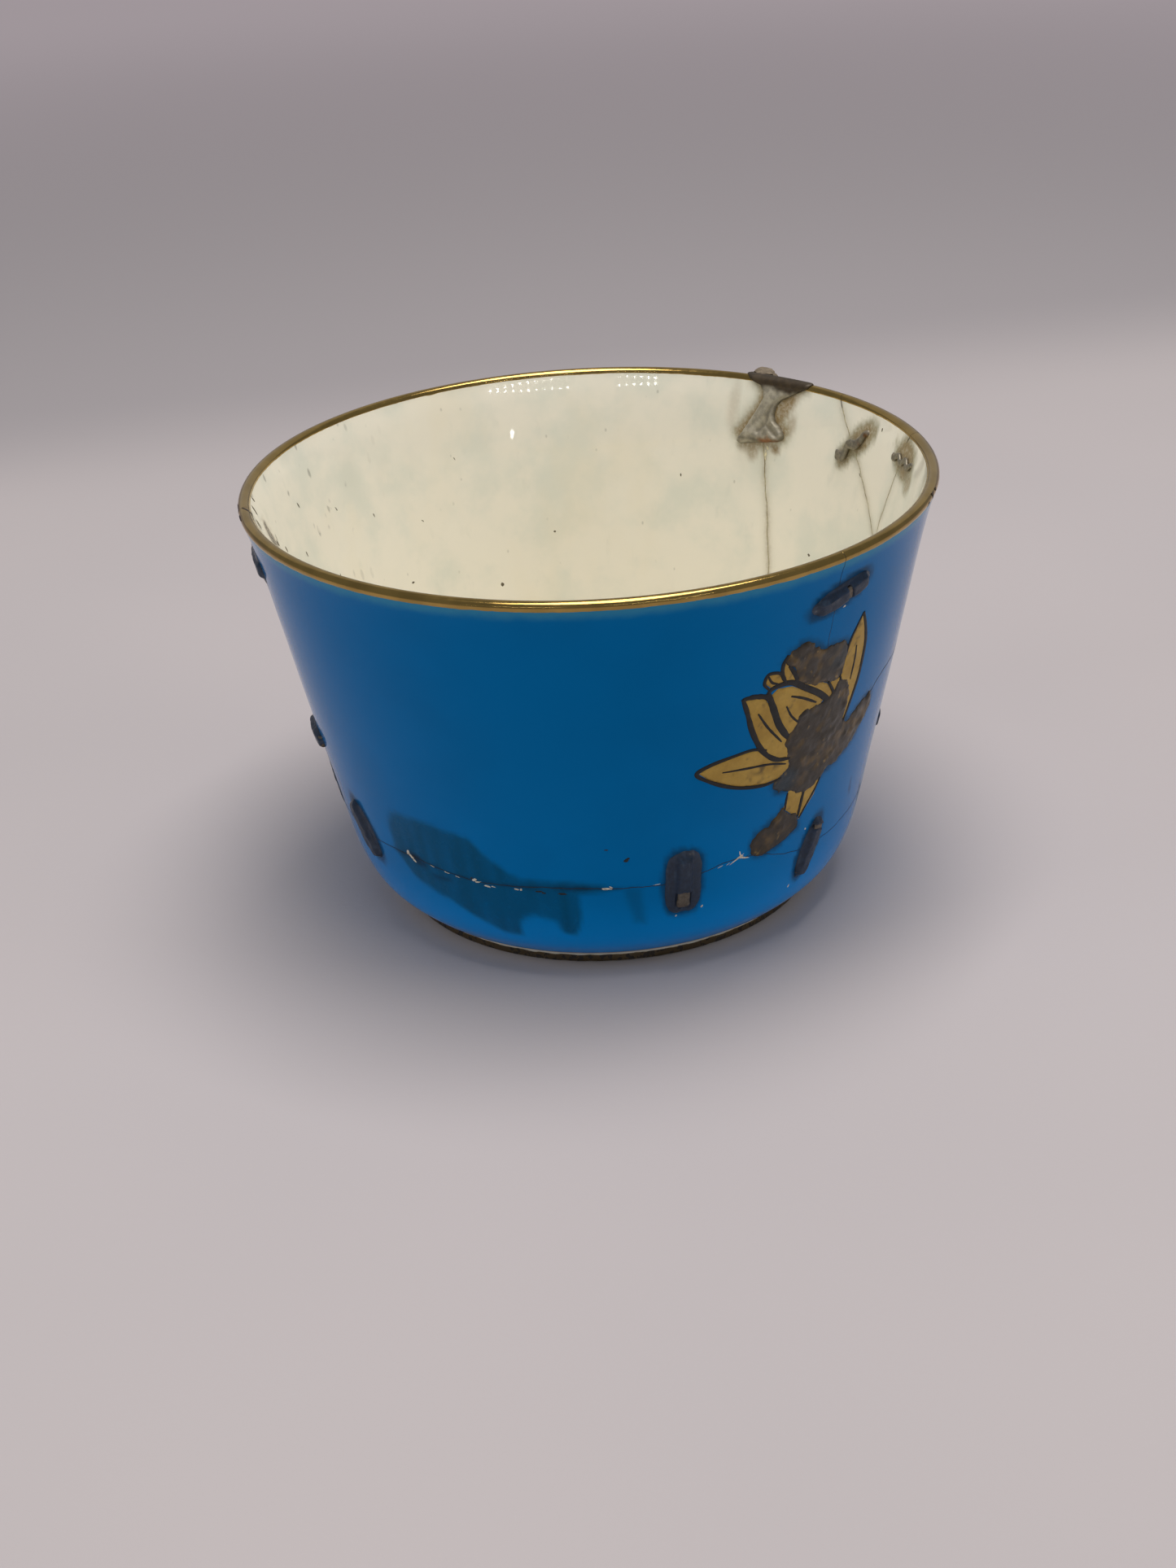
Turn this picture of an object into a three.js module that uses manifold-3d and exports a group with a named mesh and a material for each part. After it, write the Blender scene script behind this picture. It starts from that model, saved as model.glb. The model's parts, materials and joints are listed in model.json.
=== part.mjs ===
// A tapered porcelain teacup, broken into seven sherds and held together again by metal
// staples, each bedded in a mound of filler, with a lead saddle clamp over the rim.
// Millimetres, +Z up, origin at the centre of the foot ring on the plane the cup stands on.
// A place on the cup is a bearing in degrees round +Z from +X, and a height z.
import * as THREE from "three";
import { mergeVertices } from "three/addons/utils/BufferGeometryUtils.js";
import Module from "manifold-3d";

const wasm = await Module();
wasm.setup();

// Driving dimensions
const HEIGHT = 54.5;
const RIM_RADIUS = 43;
const FOOT_RADIUS = 27.2;
const FOOT_HEIGHT = 1.5;
const FOOT_WIDTH = 2;
const FOOT_RECESS = 2.2;
const FLOOR_TOP = 4.8;
const LIP_WIDTH = 1.5;
const WALL_LOW = 2.5; // wall thickness at the turn above the foot
const TURN_Z = 12; // where the turn above the foot becomes the straight wall
const ROUND_STEPS = 72; // facets round the cup

const CRACK_GAP = 0.3; // cemented gap between two sherds
const CRACK_STEP = 1.8; // length of one facet of a break
const CRACK_ROUGHNESS = 0.07;
const CUT_INNER = 27; // radii between which a break is cut
const CUT_OUTER = 46;

const STAPLE_LENGTH = 7.6;
const STAPLE_WIDTH = 1.2;
const STAPLE_THICK = 0.65;
const STAPLE_LEG = 0.6;
const STAPLE_LIFT = 0.25; // clearance between the bar and the glaze
const LEG_DEPTH = 0.9;
const LEG_HOLE_RADIUS = 0.85;
const LEG_HOLE_DEPTH = 1.15;
const FILLER_RISE = 1.15;
const FILLER_GAP = 0.15;

const CLAMP_LIFT = 0.2; // clearance between the clamp and the lip
const CLAMP_OUT = 0.85; // outer face of the clamp above the glaze
const CLAMP_BEARING = 51.5;
const CLAMP_TOP = HEIGHT + 3; // above the clamp's highest point

const CLAMP_SPAN = [-9, 5.6]; // degrees each side of its bearing, clear of its edges
const CLAMP_LOW = 46.5; // below the clamp's outer leg
const PUTTY_PLACE = [CLAMP_BEARING + 4.4, 51.3, RIM_RADIUS + 0.9]; // bearing, z, radius
const PUTTY_SIZE = [2, 3.3, 3.8]; // half sizes: out, along the rim, up
const PUTTY_GAP = 0.2;
const PUTTY_REACH = 20; // degrees each side of the clamp, wider than the putty
const PUTTY_INSIDE = RIM_RADIUS + 0.3; // the putty stays outside this radius
const BAND_LOW = 44; // below everything that holds on to the lip
const BAND_INSIDE = 25; // radii inside and outside the lip
const BAND_OUTSIDE = 52;

const rad = THREE.MathUtils.degToRad;

// ---------- Profiles, as [radius, z] ----------

const outerCurve = new THREE.SplineCurve(
  [
    [FOOT_RADIUS + 0.4, FOOT_HEIGHT],
    [29.3, 2.8],
    [31.3, 5],
    [32.7, 8.2],
    [33.7, TURN_Z],
    [35.1, 18.6],
    [37.2, 28.1],
    [39.3, 38.2],
    [41, 46.4],
    [42.1, 51],
    [RIM_RADIUS, HEIGHT - 0.7],
  ].map(([r, z]) => new THREE.Vector2(r, z)),
);
const outerPoints = outerCurve.getPoints(40);

// Radius of the outer face at height z.
function outerRadius(z) {
  for (let i = 1; i < outerPoints.length; i++) {
    const a = outerPoints[i - 1];
    const b = outerPoints[i];
    if (z <= b.y) return a.x + ((b.x - a.x) * (z - a.y)) / (b.y - a.y);
  }
  return RIM_RADIUS;
}

// The wall thins evenly from the turn to the lip.
function wallThickness(z) {
  const share = THREE.MathUtils.clamp((z - TURN_Z) / (HEIGHT - TURN_Z), 0, 1);
  return THREE.MathUtils.lerp(WALL_LOW, LIP_WIDTH, share);
}

const innerRadius = (z) => outerRadius(z) - wallThickness(z);

// A half-round lip between the inner face and the outer face.
function lipPoints(steps, grow = 0) {
  const centre = RIM_RADIUS - LIP_WIDTH / 2;
  const points = [];
  for (let i = 0; i <= steps; i++) {
    const a = (Math.PI * i) / steps;
    points.push([
      centre + (LIP_WIDTH / 2 + grow) * Math.cos(a),
      HEIGHT - 0.7 + (0.7 + grow) * Math.sin(a),
    ]);
  }
  return points;
}

function cupProfile() {
  const outer = [2, 2.8, 4, 5.5, 8.2, TURN_Z, 20, 30, 41, 50];
  const footInner = FOOT_RADIUS - FOOT_WIDTH;
  return [
    [0, FOOT_RECESS],
    [footInner - 1, FOOT_RECESS],
    [footInner - 0.2, 1.4],
    [footInner, 0.2],
    [footInner + 0.3, 0],
    [FOOT_RADIUS - 0.35, 0],
    [FOOT_RADIUS, 0.3],
    [FOOT_RADIUS, FOOT_HEIGHT],
    ...outer.map((z) => [outerRadius(z), z]),
    ...lipPoints(6),
    ...[50, 41, 30, 20, 14].map((z) => [innerRadius(z), z]),
    [30.3, 10.8],
    [28.9, 8],
    [26.6, 6],
    [23, 5.1],
    [18, FLOOR_TOP],
    [0, FLOOR_TOP],
  ];
}

// ---------- Solids ----------

function solidOf(geometry) {
  const bare = geometry.index ? geometry.toNonIndexed() : geometry.clone();
  bare.deleteAttribute("normal");
  bare.deleteAttribute("uv");
  const merged = mergeVertices(bare, 1e-4);
  const index = merged.index.array;
  const kept = [];
  for (let i = 0; i < index.length; i += 3) {
    const [a, b, c] = [index[i], index[i + 1], index[i + 2]];
    if (a !== b && b !== c && c !== a) kept.push(a, b, c);
  }
  const solid = new wasm.Manifold(
    new wasm.Mesh({
      numProp: 3,
      vertProperties: merged.attributes.position.array,
      triVerts: new Uint32Array(kept),
    }),
  );
  if (solid.volume() > 0) return solid;
  for (let i = 0; i < kept.length; i += 3) {
    [kept[i + 1], kept[i + 2]] = [kept[i + 2], kept[i + 1]];
  }
  return new wasm.Manifold(
    new wasm.Mesh({
      numProp: 3,
      vertProperties: merged.attributes.position.array,
      triVerts: new Uint32Array(kept),
    }),
  );
}

function geometryOf(solid) {
  const mesh = solid.getMesh();
  const positions = new Float32Array(mesh.numVert * 3);
  for (let i = 0; i < mesh.numVert; i++) {
    const from = i * mesh.numProp;
    positions.set(mesh.vertProperties.subarray(from, from + 3), i * 3);
  }
  const geometry = new THREE.BufferGeometry();
  geometry.setAttribute("position", new THREE.BufferAttribute(positions, 3));
  geometry.setIndex(new THREE.BufferAttribute(mesh.triVerts, 1));
  geometry.computeVertexNormals();
  return geometry;
}

// A solid of revolution about Z from [radius, z] points.
function turned(profile) {
  const points = profile.map(([r, z]) => new THREE.Vector2(r, z));
  const lathe = new THREE.LatheGeometry(points, ROUND_STEPS);
  lathe.rotateX(Math.PI / 2);
  return solidOf(lathe);
}

// The point at a bearing, a height and a radius.
function onCup(bearing, z, radius) {
  const a = rad(bearing);
  return new THREE.Vector3(radius * Math.cos(a), radius * Math.sin(a), z);
}

// A closed surface from rings of equal length, with flat caps unless the rings form a loop.
function loft(rings, { loop = false, caps = null } = {}) {
  const n = rings[0].length;
  const positions = rings.flat().flatMap((p) => [p.x, p.y, p.z]);
  const index = [];
  const last = loop ? rings.length : rings.length - 1;
  for (let i = 0; i < last; i++) {
    const next = (i + 1) % rings.length;
    for (let j = 0; j < n; j++) {
      const k = (j + 1) % n;
      const [a, b, c, d] = [i * n + j, i * n + k, next * n + k, next * n + j];
      // Diagonals run alike on facing sides, so a twisted strip keeps its thickness.
      if (j < n / 2) index.push(a, b, c, a, c, d);
      else index.push(a, b, d, b, c, d);
    }
  }
  if (!loop) {
    const end = (rings.length - 1) * n;
    for (const [a, b, c] of caps) {
      index.push(a, c, b, end + a, end + b, end + c);
    }
  }
  const geometry = new THREE.BufferGeometry();
  geometry.setAttribute("position", new THREE.Float32BufferAttribute(positions, 3));
  geometry.setIndex(index);
  return solidOf(geometry);
}

// A prism that stands out radially, its outline given as [bearing, z] points.
function radialPrism(outline, from, to) {
  const flat = outline.map(([b, z]) => new THREE.Vector2(rad(b) * RIM_RADIUS, z));
  const caps = THREE.ShapeUtils.triangulateShape(flat, []);
  return loft(
    [from, to].map((radius) => outline.map(([b, z]) => onCup(b, z, radius))),
    { caps },
  );
}

// ---------- Breaks ----------

// Each break runs through a few [bearing, z] points. The base break closes on itself.
const BREAKS = {
  base: [
    [-180, 15.2], [-151, 14.7], [-134, 15], [-117, 14.1], [-100, 14.5], [-78, 14.2],
    [-62, 15.6], [-44, 12.8], [-15, 13.6], [15, 14.9], [45, 14.2], [80, 15], [115, 13.8],
    [150, 14.9],
  ],
  left: [[-170, 56], [-171, 48], [-174, 38], [-168, 25], [-166, 19], [-164, 14.4]],
  lotus: [
    [-49.3, 56], [-48.8, 50], [-48.9, 40], [-48.8, 30.7], [-48.7, 22], [-54, 19.6],
    [-58, 16.8], [-62, 15.2],
  ],
  branch: [
    [-49, 30.2], [-38.5, 28.4], [-31.5, 30.7], [-25.4, 32.6], [-15, 32.8], [0, 35.2],
    [14, 40],
  ],
  wedgeRight: [[9, 56], [11, 52.2], [11.2, 48.9], [12.6, 45], [13.4, 42.4], [13.6, 39.4]],
  wedgeLeft: [
    [36.6, 56], [33.4, 52.4], [30.9, 50.6], [25.6, 47], [21.3, 44.2], [16.8, 41.1],
    [13, 39.2],
  ],
  rightSide: [[-2, 35.4], [-4, 28], [-1.5, 22], [-3, 13.4]],
  rear: [[54, 56], [52, 46.7], [51, 43], [48.8, 36], [46.9, 29.7], [44.6, 21], [43, 13.8]],
};

// Small steps across the break, the same every time.
function jag(distance) {
  const slow = Math.sin(0.9 * distance) + 0.6 * Math.sin(2.3 * distance + 1);
  return CRACK_ROUGHNESS * (slow + 0.3 * Math.sin(6.1 * distance + 2));
}

// A thin curtain along a break, cut right through the wall.
function breakCurtain(points, closed) {
  const flat = points.map(([b, z]) => new THREE.Vector2(rad(b) * RIM_RADIUS, z));
  if (closed) flat.push(new THREE.Vector2(flat[0].x + 2 * Math.PI * RIM_RADIUS, flat[0].y));
  const curve = new THREE.SplineCurve(flat);
  const length = curve.getLength();
  const steps = Math.ceil(length / CRACK_STEP);
  const rings = [];
  for (let i = 0; i < (closed ? steps : steps + 1); i++) {
    const at = curve.getPointAt(i / steps);
    const along = curve.getTangentAt(i / steps);
    const across = new THREE.Vector2(-along.y, along.x);
    const fade = closed ? Math.sin((Math.PI * i) / steps) : 1;
    at.addScaledVector(across, jag((length * i) / steps) * fade);
    const corner = (side, radius) => {
      const p = at.clone().addScaledVector(across, (side * CRACK_GAP) / 2);
      return onCup(THREE.MathUtils.radToDeg(p.x / RIM_RADIUS), p.y, radius);
    };
    rings.push([
      corner(1, CUT_OUTER),
      corner(-1, CUT_OUTER),
      corner(-1, CUT_INNER),
      corner(1, CUT_INNER),
    ]);
  }
  return loft(rings, { loop: closed, caps: [[0, 1, 2], [0, 2, 3]] });
}

// A bearing and height inside each sherd, which tells the cut pieces apart.
const SHERDS = {
  base_bowl: [-90, 8],
  front_wall: [-110, 35],
  back_wall: [110, 35],
  right_rim_sherd: [-20, 44],
  rim_wedge_sherd: [20, 50],
  right_front_sherd: [-28, 22],
  right_rear_sherd: [25, 28],
};

// ---------- Staples and fillers ----------

// Each staple's middle, and how far its bar is turned from level, in degrees.
const OUTER_STAPLES = {
  front_low: [-75, 14, 90],
  right_low: [-43.3, 12.6, 75],
  right_rim: [-47.6, 48.9, 13],
  left_rim: [-169, 47.8, 0],
  left_mid: [-168.5, 24.3, 0],
  left_low: [-178.5, 14.7, 90],
  left_break: [-149.8, 15.2, 113],
  right_side: [-3, 20.8, 0],
  rear_crack: [47.6, 33, 0],
  rear_low_right: [22, 14.6, 90],
  rear_low_middle: [88, 14.8, 90],
  rear_low_left: [142, 14.5, 90],
};
const INNER_STAPLES = {
  inner_left: [28.1, 49.4, 44],
  inner_right: [9.5, 51.1, 177],
};

// Moves a solid made at the origin, with +X level along the wall, +Y up the wall and +Z out
// of the glaze, to a place on the outer or the inner face.
function placement([bearing, z, turn], inside) {
  const radiusAt = inside ? innerRadius : outerRadius;
  const slope = (radiusAt(z + 2) - radiusAt(z - 2)) / 4;
  const a = rad(bearing);
  const outwards = new THREE.Vector3(Math.cos(a), Math.sin(a), 0);
  const up = outwards.clone().multiplyScalar(slope).add(new THREE.Vector3(0, 0, 1)).normalize();
  const level = new THREE.Vector3(-Math.sin(a), Math.cos(a), 0);
  if (inside) level.negate();
  const normal = level.clone().cross(up);
  const matrix = new THREE.Matrix4().makeBasis(level, up, normal);
  matrix.setPosition(onCup(bearing, z, radiusAt(z)));
  return matrix.multiply(new THREE.Matrix4().makeRotationZ(rad(turn)));
}

// A bent bar: two legs and the bridge between them.
function stapleGeometry() {
  const half = STAPLE_LENGTH / 2;
  const top = STAPLE_LIFT + STAPLE_THICK;
  const side = new THREE.Shape();
  side.moveTo(-half, -LEG_DEPTH);
  side.lineTo(-half + STAPLE_LEG, -LEG_DEPTH);
  side.lineTo(-half + STAPLE_LEG, STAPLE_LIFT);
  side.lineTo(half - STAPLE_LEG, STAPLE_LIFT);
  side.lineTo(half - STAPLE_LEG, -LEG_DEPTH);
  side.lineTo(half, -LEG_DEPTH);
  side.lineTo(half, top - 0.3);
  side.lineTo(half - 0.3, top);
  side.lineTo(-half + 0.3, top);
  side.lineTo(-half, top - 0.3);
  side.closePath();
  const bar = new THREE.ExtrudeGeometry(side, { depth: STAPLE_WIDTH, bevelEnabled: false });
  bar.translate(0, 0, -STAPLE_WIDTH / 2);
  bar.rotateX(Math.PI / 2);
  return bar;
}

function legHoles(place) {
  const middle = STAPLE_LENGTH / 2 - STAPLE_LEG / 2;
  return [-middle, middle].map((x) => {
    const hole = new THREE.CylinderGeometry(LEG_HOLE_RADIUS, LEG_HOLE_RADIUS, 3, 8);
    hole.rotateX(Math.PI / 2);
    hole.translate(x, 0, 1.5 - LEG_HOLE_DEPTH);
    return solidOf(hole.applyMatrix4(place));
  });
}

// A low mound round the bar, open over it.
function fillerSolid(place, grownCup) {
  const mound = new THREE.SphereGeometry(1, 14, 8);
  mound.scale(STAPLE_LENGTH / 2 + 1.3, STAPLE_WIDTH / 2 + 1.8, FILLER_RISE);
  const slot = new THREE.BoxGeometry(STAPLE_LENGTH + 0.4, STAPLE_WIDTH + 0.4, 4);
  return solidOf(mound.applyMatrix4(place))
    .subtract(solidOf(slot.applyMatrix4(place)))
    .subtract(grownCup);
}

// ---------- Rim clamp ----------

// Outlines of the clamp's two legs, as [bearing from its middle, z].
const CLAMP_INSIDE = [
  [-8, CLAMP_TOP], [-8, 54.2], [-4.6, 53.1], [-2.2, 52], [-1.4, 50.3], [-2.6, 49.2],
  [-4.4, 48.2], [-4.4, 47.3], [0.5, 46.9], [5.2, 46.1], [6.4, 47.2], [4.2, 48.9],
  [2.6, 50.8], [1.9, 52.8], [4.6, 54.2], [4.6, CLAMP_TOP],
];
const CLAMP_OUTSIDE = [
  [-8, CLAMP_TOP], [-6.6, 51.5], [-4, 48.6], [0, 47.6], [3.4, 48.8], [4.6, 51.5],
  [4.6, CLAMP_TOP],
];

// The profile of the lip and wall, pushed out by grow on every side, above z = bottom.
function grownLip(grow, bottom) {
  const heights = [bottom, bottom + 3, bottom + 6, 51, HEIGHT - 0.7];
  return [
    ...heights.slice(0, -1).map((z) => [outerRadius(z) + grow, z]),
    ...lipPoints(10, grow),
    ...heights.slice(0, -1).reverse().map((z) => [innerRadius(z) - grow, z]),
  ];
}

function clampSolid() {
  const shift = (outline) => outline.map(([b, z]) => [b + CLAMP_BEARING, z]);
  const middle = RIM_RADIUS - LIP_WIDTH / 2;
  const reach = radialPrism(shift(CLAMP_INSIDE), 30, middle).add(
    radialPrism(shift(CLAMP_OUTSIDE), middle - 0.01, 50),
  );
  const saddle = turned([
    ...grownLip(CLAMP_OUT, 42),
    ...grownLip(CLAMP_LIFT, 42).reverse(),
    grownLip(CLAMP_OUT, 42)[0],
  ]);
  return saddle.intersect(reach);
}

// Everything between two bearings and two radii, from well below the clamp to above it.
function rimBlock(from, to, low, inner, outer) {
  const top = CLAMP_TOP + 2;
  return radialPrism([[from, low], [to, low], [to, top], [from, top]], inner, outer);
}

// A lump of putty pressed over the clamp's outer leg. It stays clear of the clamp and the lip.
function puttySolid(grownCup) {
  const [bearing, z, radius] = PUTTY_PLACE;
  const lump = new THREE.SphereGeometry(1, 16, 10);
  lump.scale(...PUTTY_SIZE);
  lump.rotateZ(rad(bearing));
  const centre = onCup(bearing, z, radius);
  lump.translate(centre.x, centre.y, centre.z);
  const saddle = turned([
    [BAND_INSIDE, BAND_LOW],
    ...grownLip(CLAMP_OUT + PUTTY_GAP, BAND_LOW),
    [BAND_INSIDE, BAND_LOW],
  ]);
  const [left, right] = CLAMP_SPAN.map((side) => CLAMP_BEARING + side);
  const clampSector = rimBlock(left, right, CLAMP_LOW, BAND_INSIDE, BAND_OUTSIDE);
  const keepOff = saddle.intersect(clampSector);
  const reach = [CLAMP_BEARING - PUTTY_REACH, CLAMP_BEARING + PUTTY_REACH];
  const within = rimBlock(...reach, BAND_LOW, BAND_INSIDE, PUTTY_INSIDE);
  const pieces = solidOf(lump).subtract(keepOff).subtract(grownCup).subtract(within).decompose();
  return pieces.sort((a, b) => b.volume() - a.volume())[0];
}

// ---------- Assembly ----------

const glaze = new THREE.MeshStandardMaterial({ color: 0x00558c, roughness: 0.12, metalness: 0 });
const metal = new THREE.MeshStandardMaterial({ color: 0x6d665c, roughness: 0.5, metalness: 0.9 });
const lead = new THREE.MeshStandardMaterial({ color: 0x77756d, roughness: 0.6, metalness: 0.6 });
const filler = new THREE.MeshStandardMaterial({ color: 0x1f3553, roughness: 0.45, metalness: 0 });
const putty = new THREE.MeshStandardMaterial({ color: 0x8a7b6a, roughness: 0.8, metalness: 0 });

const part = new THREE.Group();

function addPart(name, geometry, material) {
  const mesh = new THREE.Mesh(geometry, material);
  mesh.name = name;
  part.add(mesh);
}

const grownCup = turned([
  [0, 1],
  [FOOT_RADIUS + 0.4, 1],
  ...[2, 3.8, 5, 6.5, 8.2, TURN_Z, 18.6, 28.1, 38.2, 46.4, 51].map((z) => [
    outerRadius(z) + FILLER_GAP,
    z,
  ]),
  ...lipPoints(8, FILLER_GAP),
  [0, HEIGHT - 0.7],
]);

const outerPlaces = Object.entries(OUTER_STAPLES).map(([name, at]) => [name, placement(at, false)]);
const innerPlaces = Object.entries(INNER_STAPLES).map(([name, at]) => [name, placement(at, true)]);

let cup = turned(cupProfile());
for (const [name, points] of Object.entries(BREAKS)) {
  cup = cup.subtract(breakCurtain(points, name === "base"));
}
for (const [, place] of [...outerPlaces, ...innerPlaces]) {
  for (const hole of legHoles(place)) cup = cup.subtract(hole);
}

const cutPieces = cup.decompose();
for (const [name, [bearing, z]] of Object.entries(SHERDS)) {
  const probe = new THREE.BoxGeometry(0.4, 0.4, 0.4);
  const at = onCup(bearing, z, (innerRadius(z) + outerRadius(z)) / 2);
  const box = solidOf(probe.translate(at.x, at.y, at.z));
  const found = cutPieces.find((piece) => piece.intersect(box).volume() > 0.02);
  addPart(name, geometryOf(found), glaze);
}

for (const [name, place] of outerPlaces) {
  addPart(`staple_${name}`, stapleGeometry().applyMatrix4(place), metal);
  addPart(`filler_${name}`, geometryOf(fillerSolid(place, grownCup)), filler);
}
for (const [name, place] of innerPlaces) {
  addPart(`staple_${name}`, stapleGeometry().applyMatrix4(place), lead);
}

addPart("rim_clamp", geometryOf(clampSolid()), lead);
addPart("rim_putty", geometryOf(puttySolid(grownCup)), putty);

export default part;
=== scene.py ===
"""Looks for a mended porcelain teacup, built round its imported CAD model.

Shapes are worked out in millimetres and written to the meshes in metres. A place on the cup is
a bearing in degrees round +Z from +X, a height z, and a lift above the glaze along its normal.
"""

import json
import math

import bmesh
import bpy
import numpy as np
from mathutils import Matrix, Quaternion, Vector, geometry

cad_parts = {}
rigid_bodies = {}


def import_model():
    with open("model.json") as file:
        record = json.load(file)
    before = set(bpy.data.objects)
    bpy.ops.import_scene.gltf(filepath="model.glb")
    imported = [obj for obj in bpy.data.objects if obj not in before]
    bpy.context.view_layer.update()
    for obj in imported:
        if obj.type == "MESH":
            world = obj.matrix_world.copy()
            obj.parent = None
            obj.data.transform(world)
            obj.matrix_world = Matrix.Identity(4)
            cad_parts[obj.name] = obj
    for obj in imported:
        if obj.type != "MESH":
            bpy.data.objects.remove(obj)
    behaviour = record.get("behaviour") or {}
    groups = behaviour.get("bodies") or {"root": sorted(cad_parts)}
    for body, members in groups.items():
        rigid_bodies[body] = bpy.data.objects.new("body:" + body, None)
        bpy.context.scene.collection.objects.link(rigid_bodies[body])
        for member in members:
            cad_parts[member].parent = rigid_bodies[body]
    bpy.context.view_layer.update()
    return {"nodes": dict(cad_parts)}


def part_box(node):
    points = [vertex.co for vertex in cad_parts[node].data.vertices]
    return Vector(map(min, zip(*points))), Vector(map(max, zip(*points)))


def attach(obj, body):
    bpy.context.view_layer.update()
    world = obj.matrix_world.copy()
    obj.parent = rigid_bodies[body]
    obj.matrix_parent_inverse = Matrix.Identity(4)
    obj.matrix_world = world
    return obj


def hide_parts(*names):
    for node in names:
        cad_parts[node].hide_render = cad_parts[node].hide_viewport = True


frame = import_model()

MM = 0.001

# ---------------------------------------------------------------- sizes, from the frame


def box_mm(node):
    low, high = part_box(node)
    return np.array(low) / MM, np.array(high) / MM


SHERDS = [
    "base_bowl",
    "front_wall",
    "back_wall",
    "right_rim_sherd",
    "rim_wedge_sherd",
    "right_front_sherd",
    "right_rear_sherd",
]
HEIGHT = box_mm("back_wall")[1][2]
RIM_RADIUS = box_mm("back_wall")[1][1]
LIP_WIDTH = 1.5
LIP_RISE = 0.7
FOOT_RADIUS = 27.2
FOOT_WIDTH = 2.0
FOOT_HEIGHT = 1.5
FOOT_RECESS = 2.2
FLOOR_TOP = 4.8
TURN_Z = 12.0
WALL_LOW = 2.5

CUP_COLUMNS = 480  # facets round the cup
ROW_STEP = 0.55  # height of one row of facets
CRACK_WIDTH = 0.07  # a break, closed up tight
CRACK_STEP = 0.4
NOISE_CELLS = 64  # the noise repeats after this many
FAR_AWAY = 1e9
TINY = 1e-12

OUTER_CURVE = [
    (FOOT_RADIUS + 0.4, FOOT_HEIGHT),
    (29.3, 2.8),
    (31.3, 5.0),
    (32.7, 8.2),
    (33.7, TURN_Z),
    (35.1, 18.6),
    (37.2, 28.1),
    (39.3, 38.2),
    (41.0, 46.4),
    (42.1, 51.0),
    (RIM_RADIUS, HEIGHT - LIP_RISE),
]

# ---------------------------------------------------------------- small numeric helpers


def spline(points, per_span=12):
    """A uniform Catmull-Rom curve through the points."""
    p = np.array(points, float)
    p = np.vstack([2 * p[0] - p[1], p, 2 * p[-1] - p[-2]])
    out = []
    for i in range(1, len(p) - 2):
        for k in range(per_span):
            t = k / per_span
            a, b, c, d = p[i - 1], p[i], p[i + 1], p[i + 2]
            out.append(
                0.5
                * (2 * b + (c - a) * t + (2 * a - 5 * b + 4 * c - d) * t**2)
                + 0.5 * (3 * b - a - 3 * c + d) * t**3
            )
    out.append(p[-2])
    return np.array(out)


def smooth(low, high, x):
    """0 below low, 1 above high, and a smooth step between. low may be above high."""
    t = np.clip((np.asarray(x, float) - low) / (high - low), 0, 1)
    return t * t * (3 - 2 * t)


def noise(u, v, seed, size=1.0):
    """Smooth value noise from -1 to 1 with features of about one size."""
    table = np.random.default_rng(seed).uniform(-1, 1, (NOISE_CELLS, NOISE_CELLS))
    u, v = np.asarray(u, float) / size, np.asarray(v, float) / size
    i, j = np.floor(u).astype(int), np.floor(v).astype(int)
    fu, fv = u - i, v - j
    fu, fv = fu * fu * (3 - 2 * fu), fv * fv * (3 - 2 * fv)

    def at(a, b):
        return table[a % NOISE_CELLS, b % NOISE_CELLS]

    near = at(i, j) * (1 - fu) + at(i + 1, j) * fu
    far = at(i, j + 1) * (1 - fu) + at(i + 1, j + 1) * fu
    return near * (1 - fv) + far * fv


def rough(u, v, seed, size=1.0, octaves=3):
    """Noise with finer noise on top of it."""
    total = 0
    for k in range(octaves):
        total = total + noise(u, v, seed + k, size / 2**k) / 2**k
    return total / 1.5


def resample(points, step):
    """Points along a polyline at even steps."""
    p = np.array(points, float)
    lengths = np.linalg.norm(np.diff(p, axis=0), axis=1)
    along = np.concatenate([[0], np.cumsum(lengths)])
    count = max(2, int(round(along[-1] / step)) + 1)
    at = np.linspace(0, along[-1], count)
    return np.column_stack([np.interp(at, along, p[:, k]) for k in range(p.shape[1])])


def segment_distance(u, v, start, end):
    """Distance from points to a segment."""
    (x0, y0), (x1, y1) = start, end
    dx, dy = x1 - x0, y1 - y0
    t = np.clip(((u - x0) * dx + (v - y0) * dy) / (dx * dx + dy * dy + TINY), 0, 1)
    return np.hypot(u - x0 - t * dx, v - y0 - t * dy)


def line_distance(u, v, points):
    """Distance from points to an open polyline."""
    p = np.array(points, float)
    best = FAR_AWAY
    for start, end in zip(p[:-1], p[1:]):
        best = np.minimum(best, segment_distance(u, v, start, end))
    return best


def edge_distance(u, v, outline):
    """Signed distance from points to a closed outline, positive inside."""
    p = np.array(outline, float)
    inside = np.zeros(np.shape(u), bool)
    for (x0, y0), (x1, y1) in zip(p, np.roll(p, -1, axis=0)):
        if y0 != y1:
            crosses = (y0 > v) != (y1 > v)
            inside ^= crosses & (u < x0 + (v - y0) * (x1 - x0) / (y1 - y0))
    best = line_distance(u, v, np.vstack([p, p[:1]]))
    return np.where(inside, best, -best)


def unit(vectors):
    return vectors / np.linalg.norm(vectors, axis=1)[:, None]


def quarter_turn(vectors):
    """Directions in a plane, turned a quarter to the left."""
    return np.column_stack([-vectors[:, 1], vectors[:, 0]])


def rotated(u, v, turn):
    """Offsets as measured along axes turned by some degrees."""
    c, s = math.cos(math.radians(turn)), math.sin(math.radians(turn))
    return u * c + v * s, v * c - u * s


def polar(r, bearing, z):
    """Points from radius, bearing in degrees and height."""
    a = np.radians(bearing)
    return np.stack(np.broadcast_arrays(r * np.cos(a), r * np.sin(a), z), axis=-1)


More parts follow.
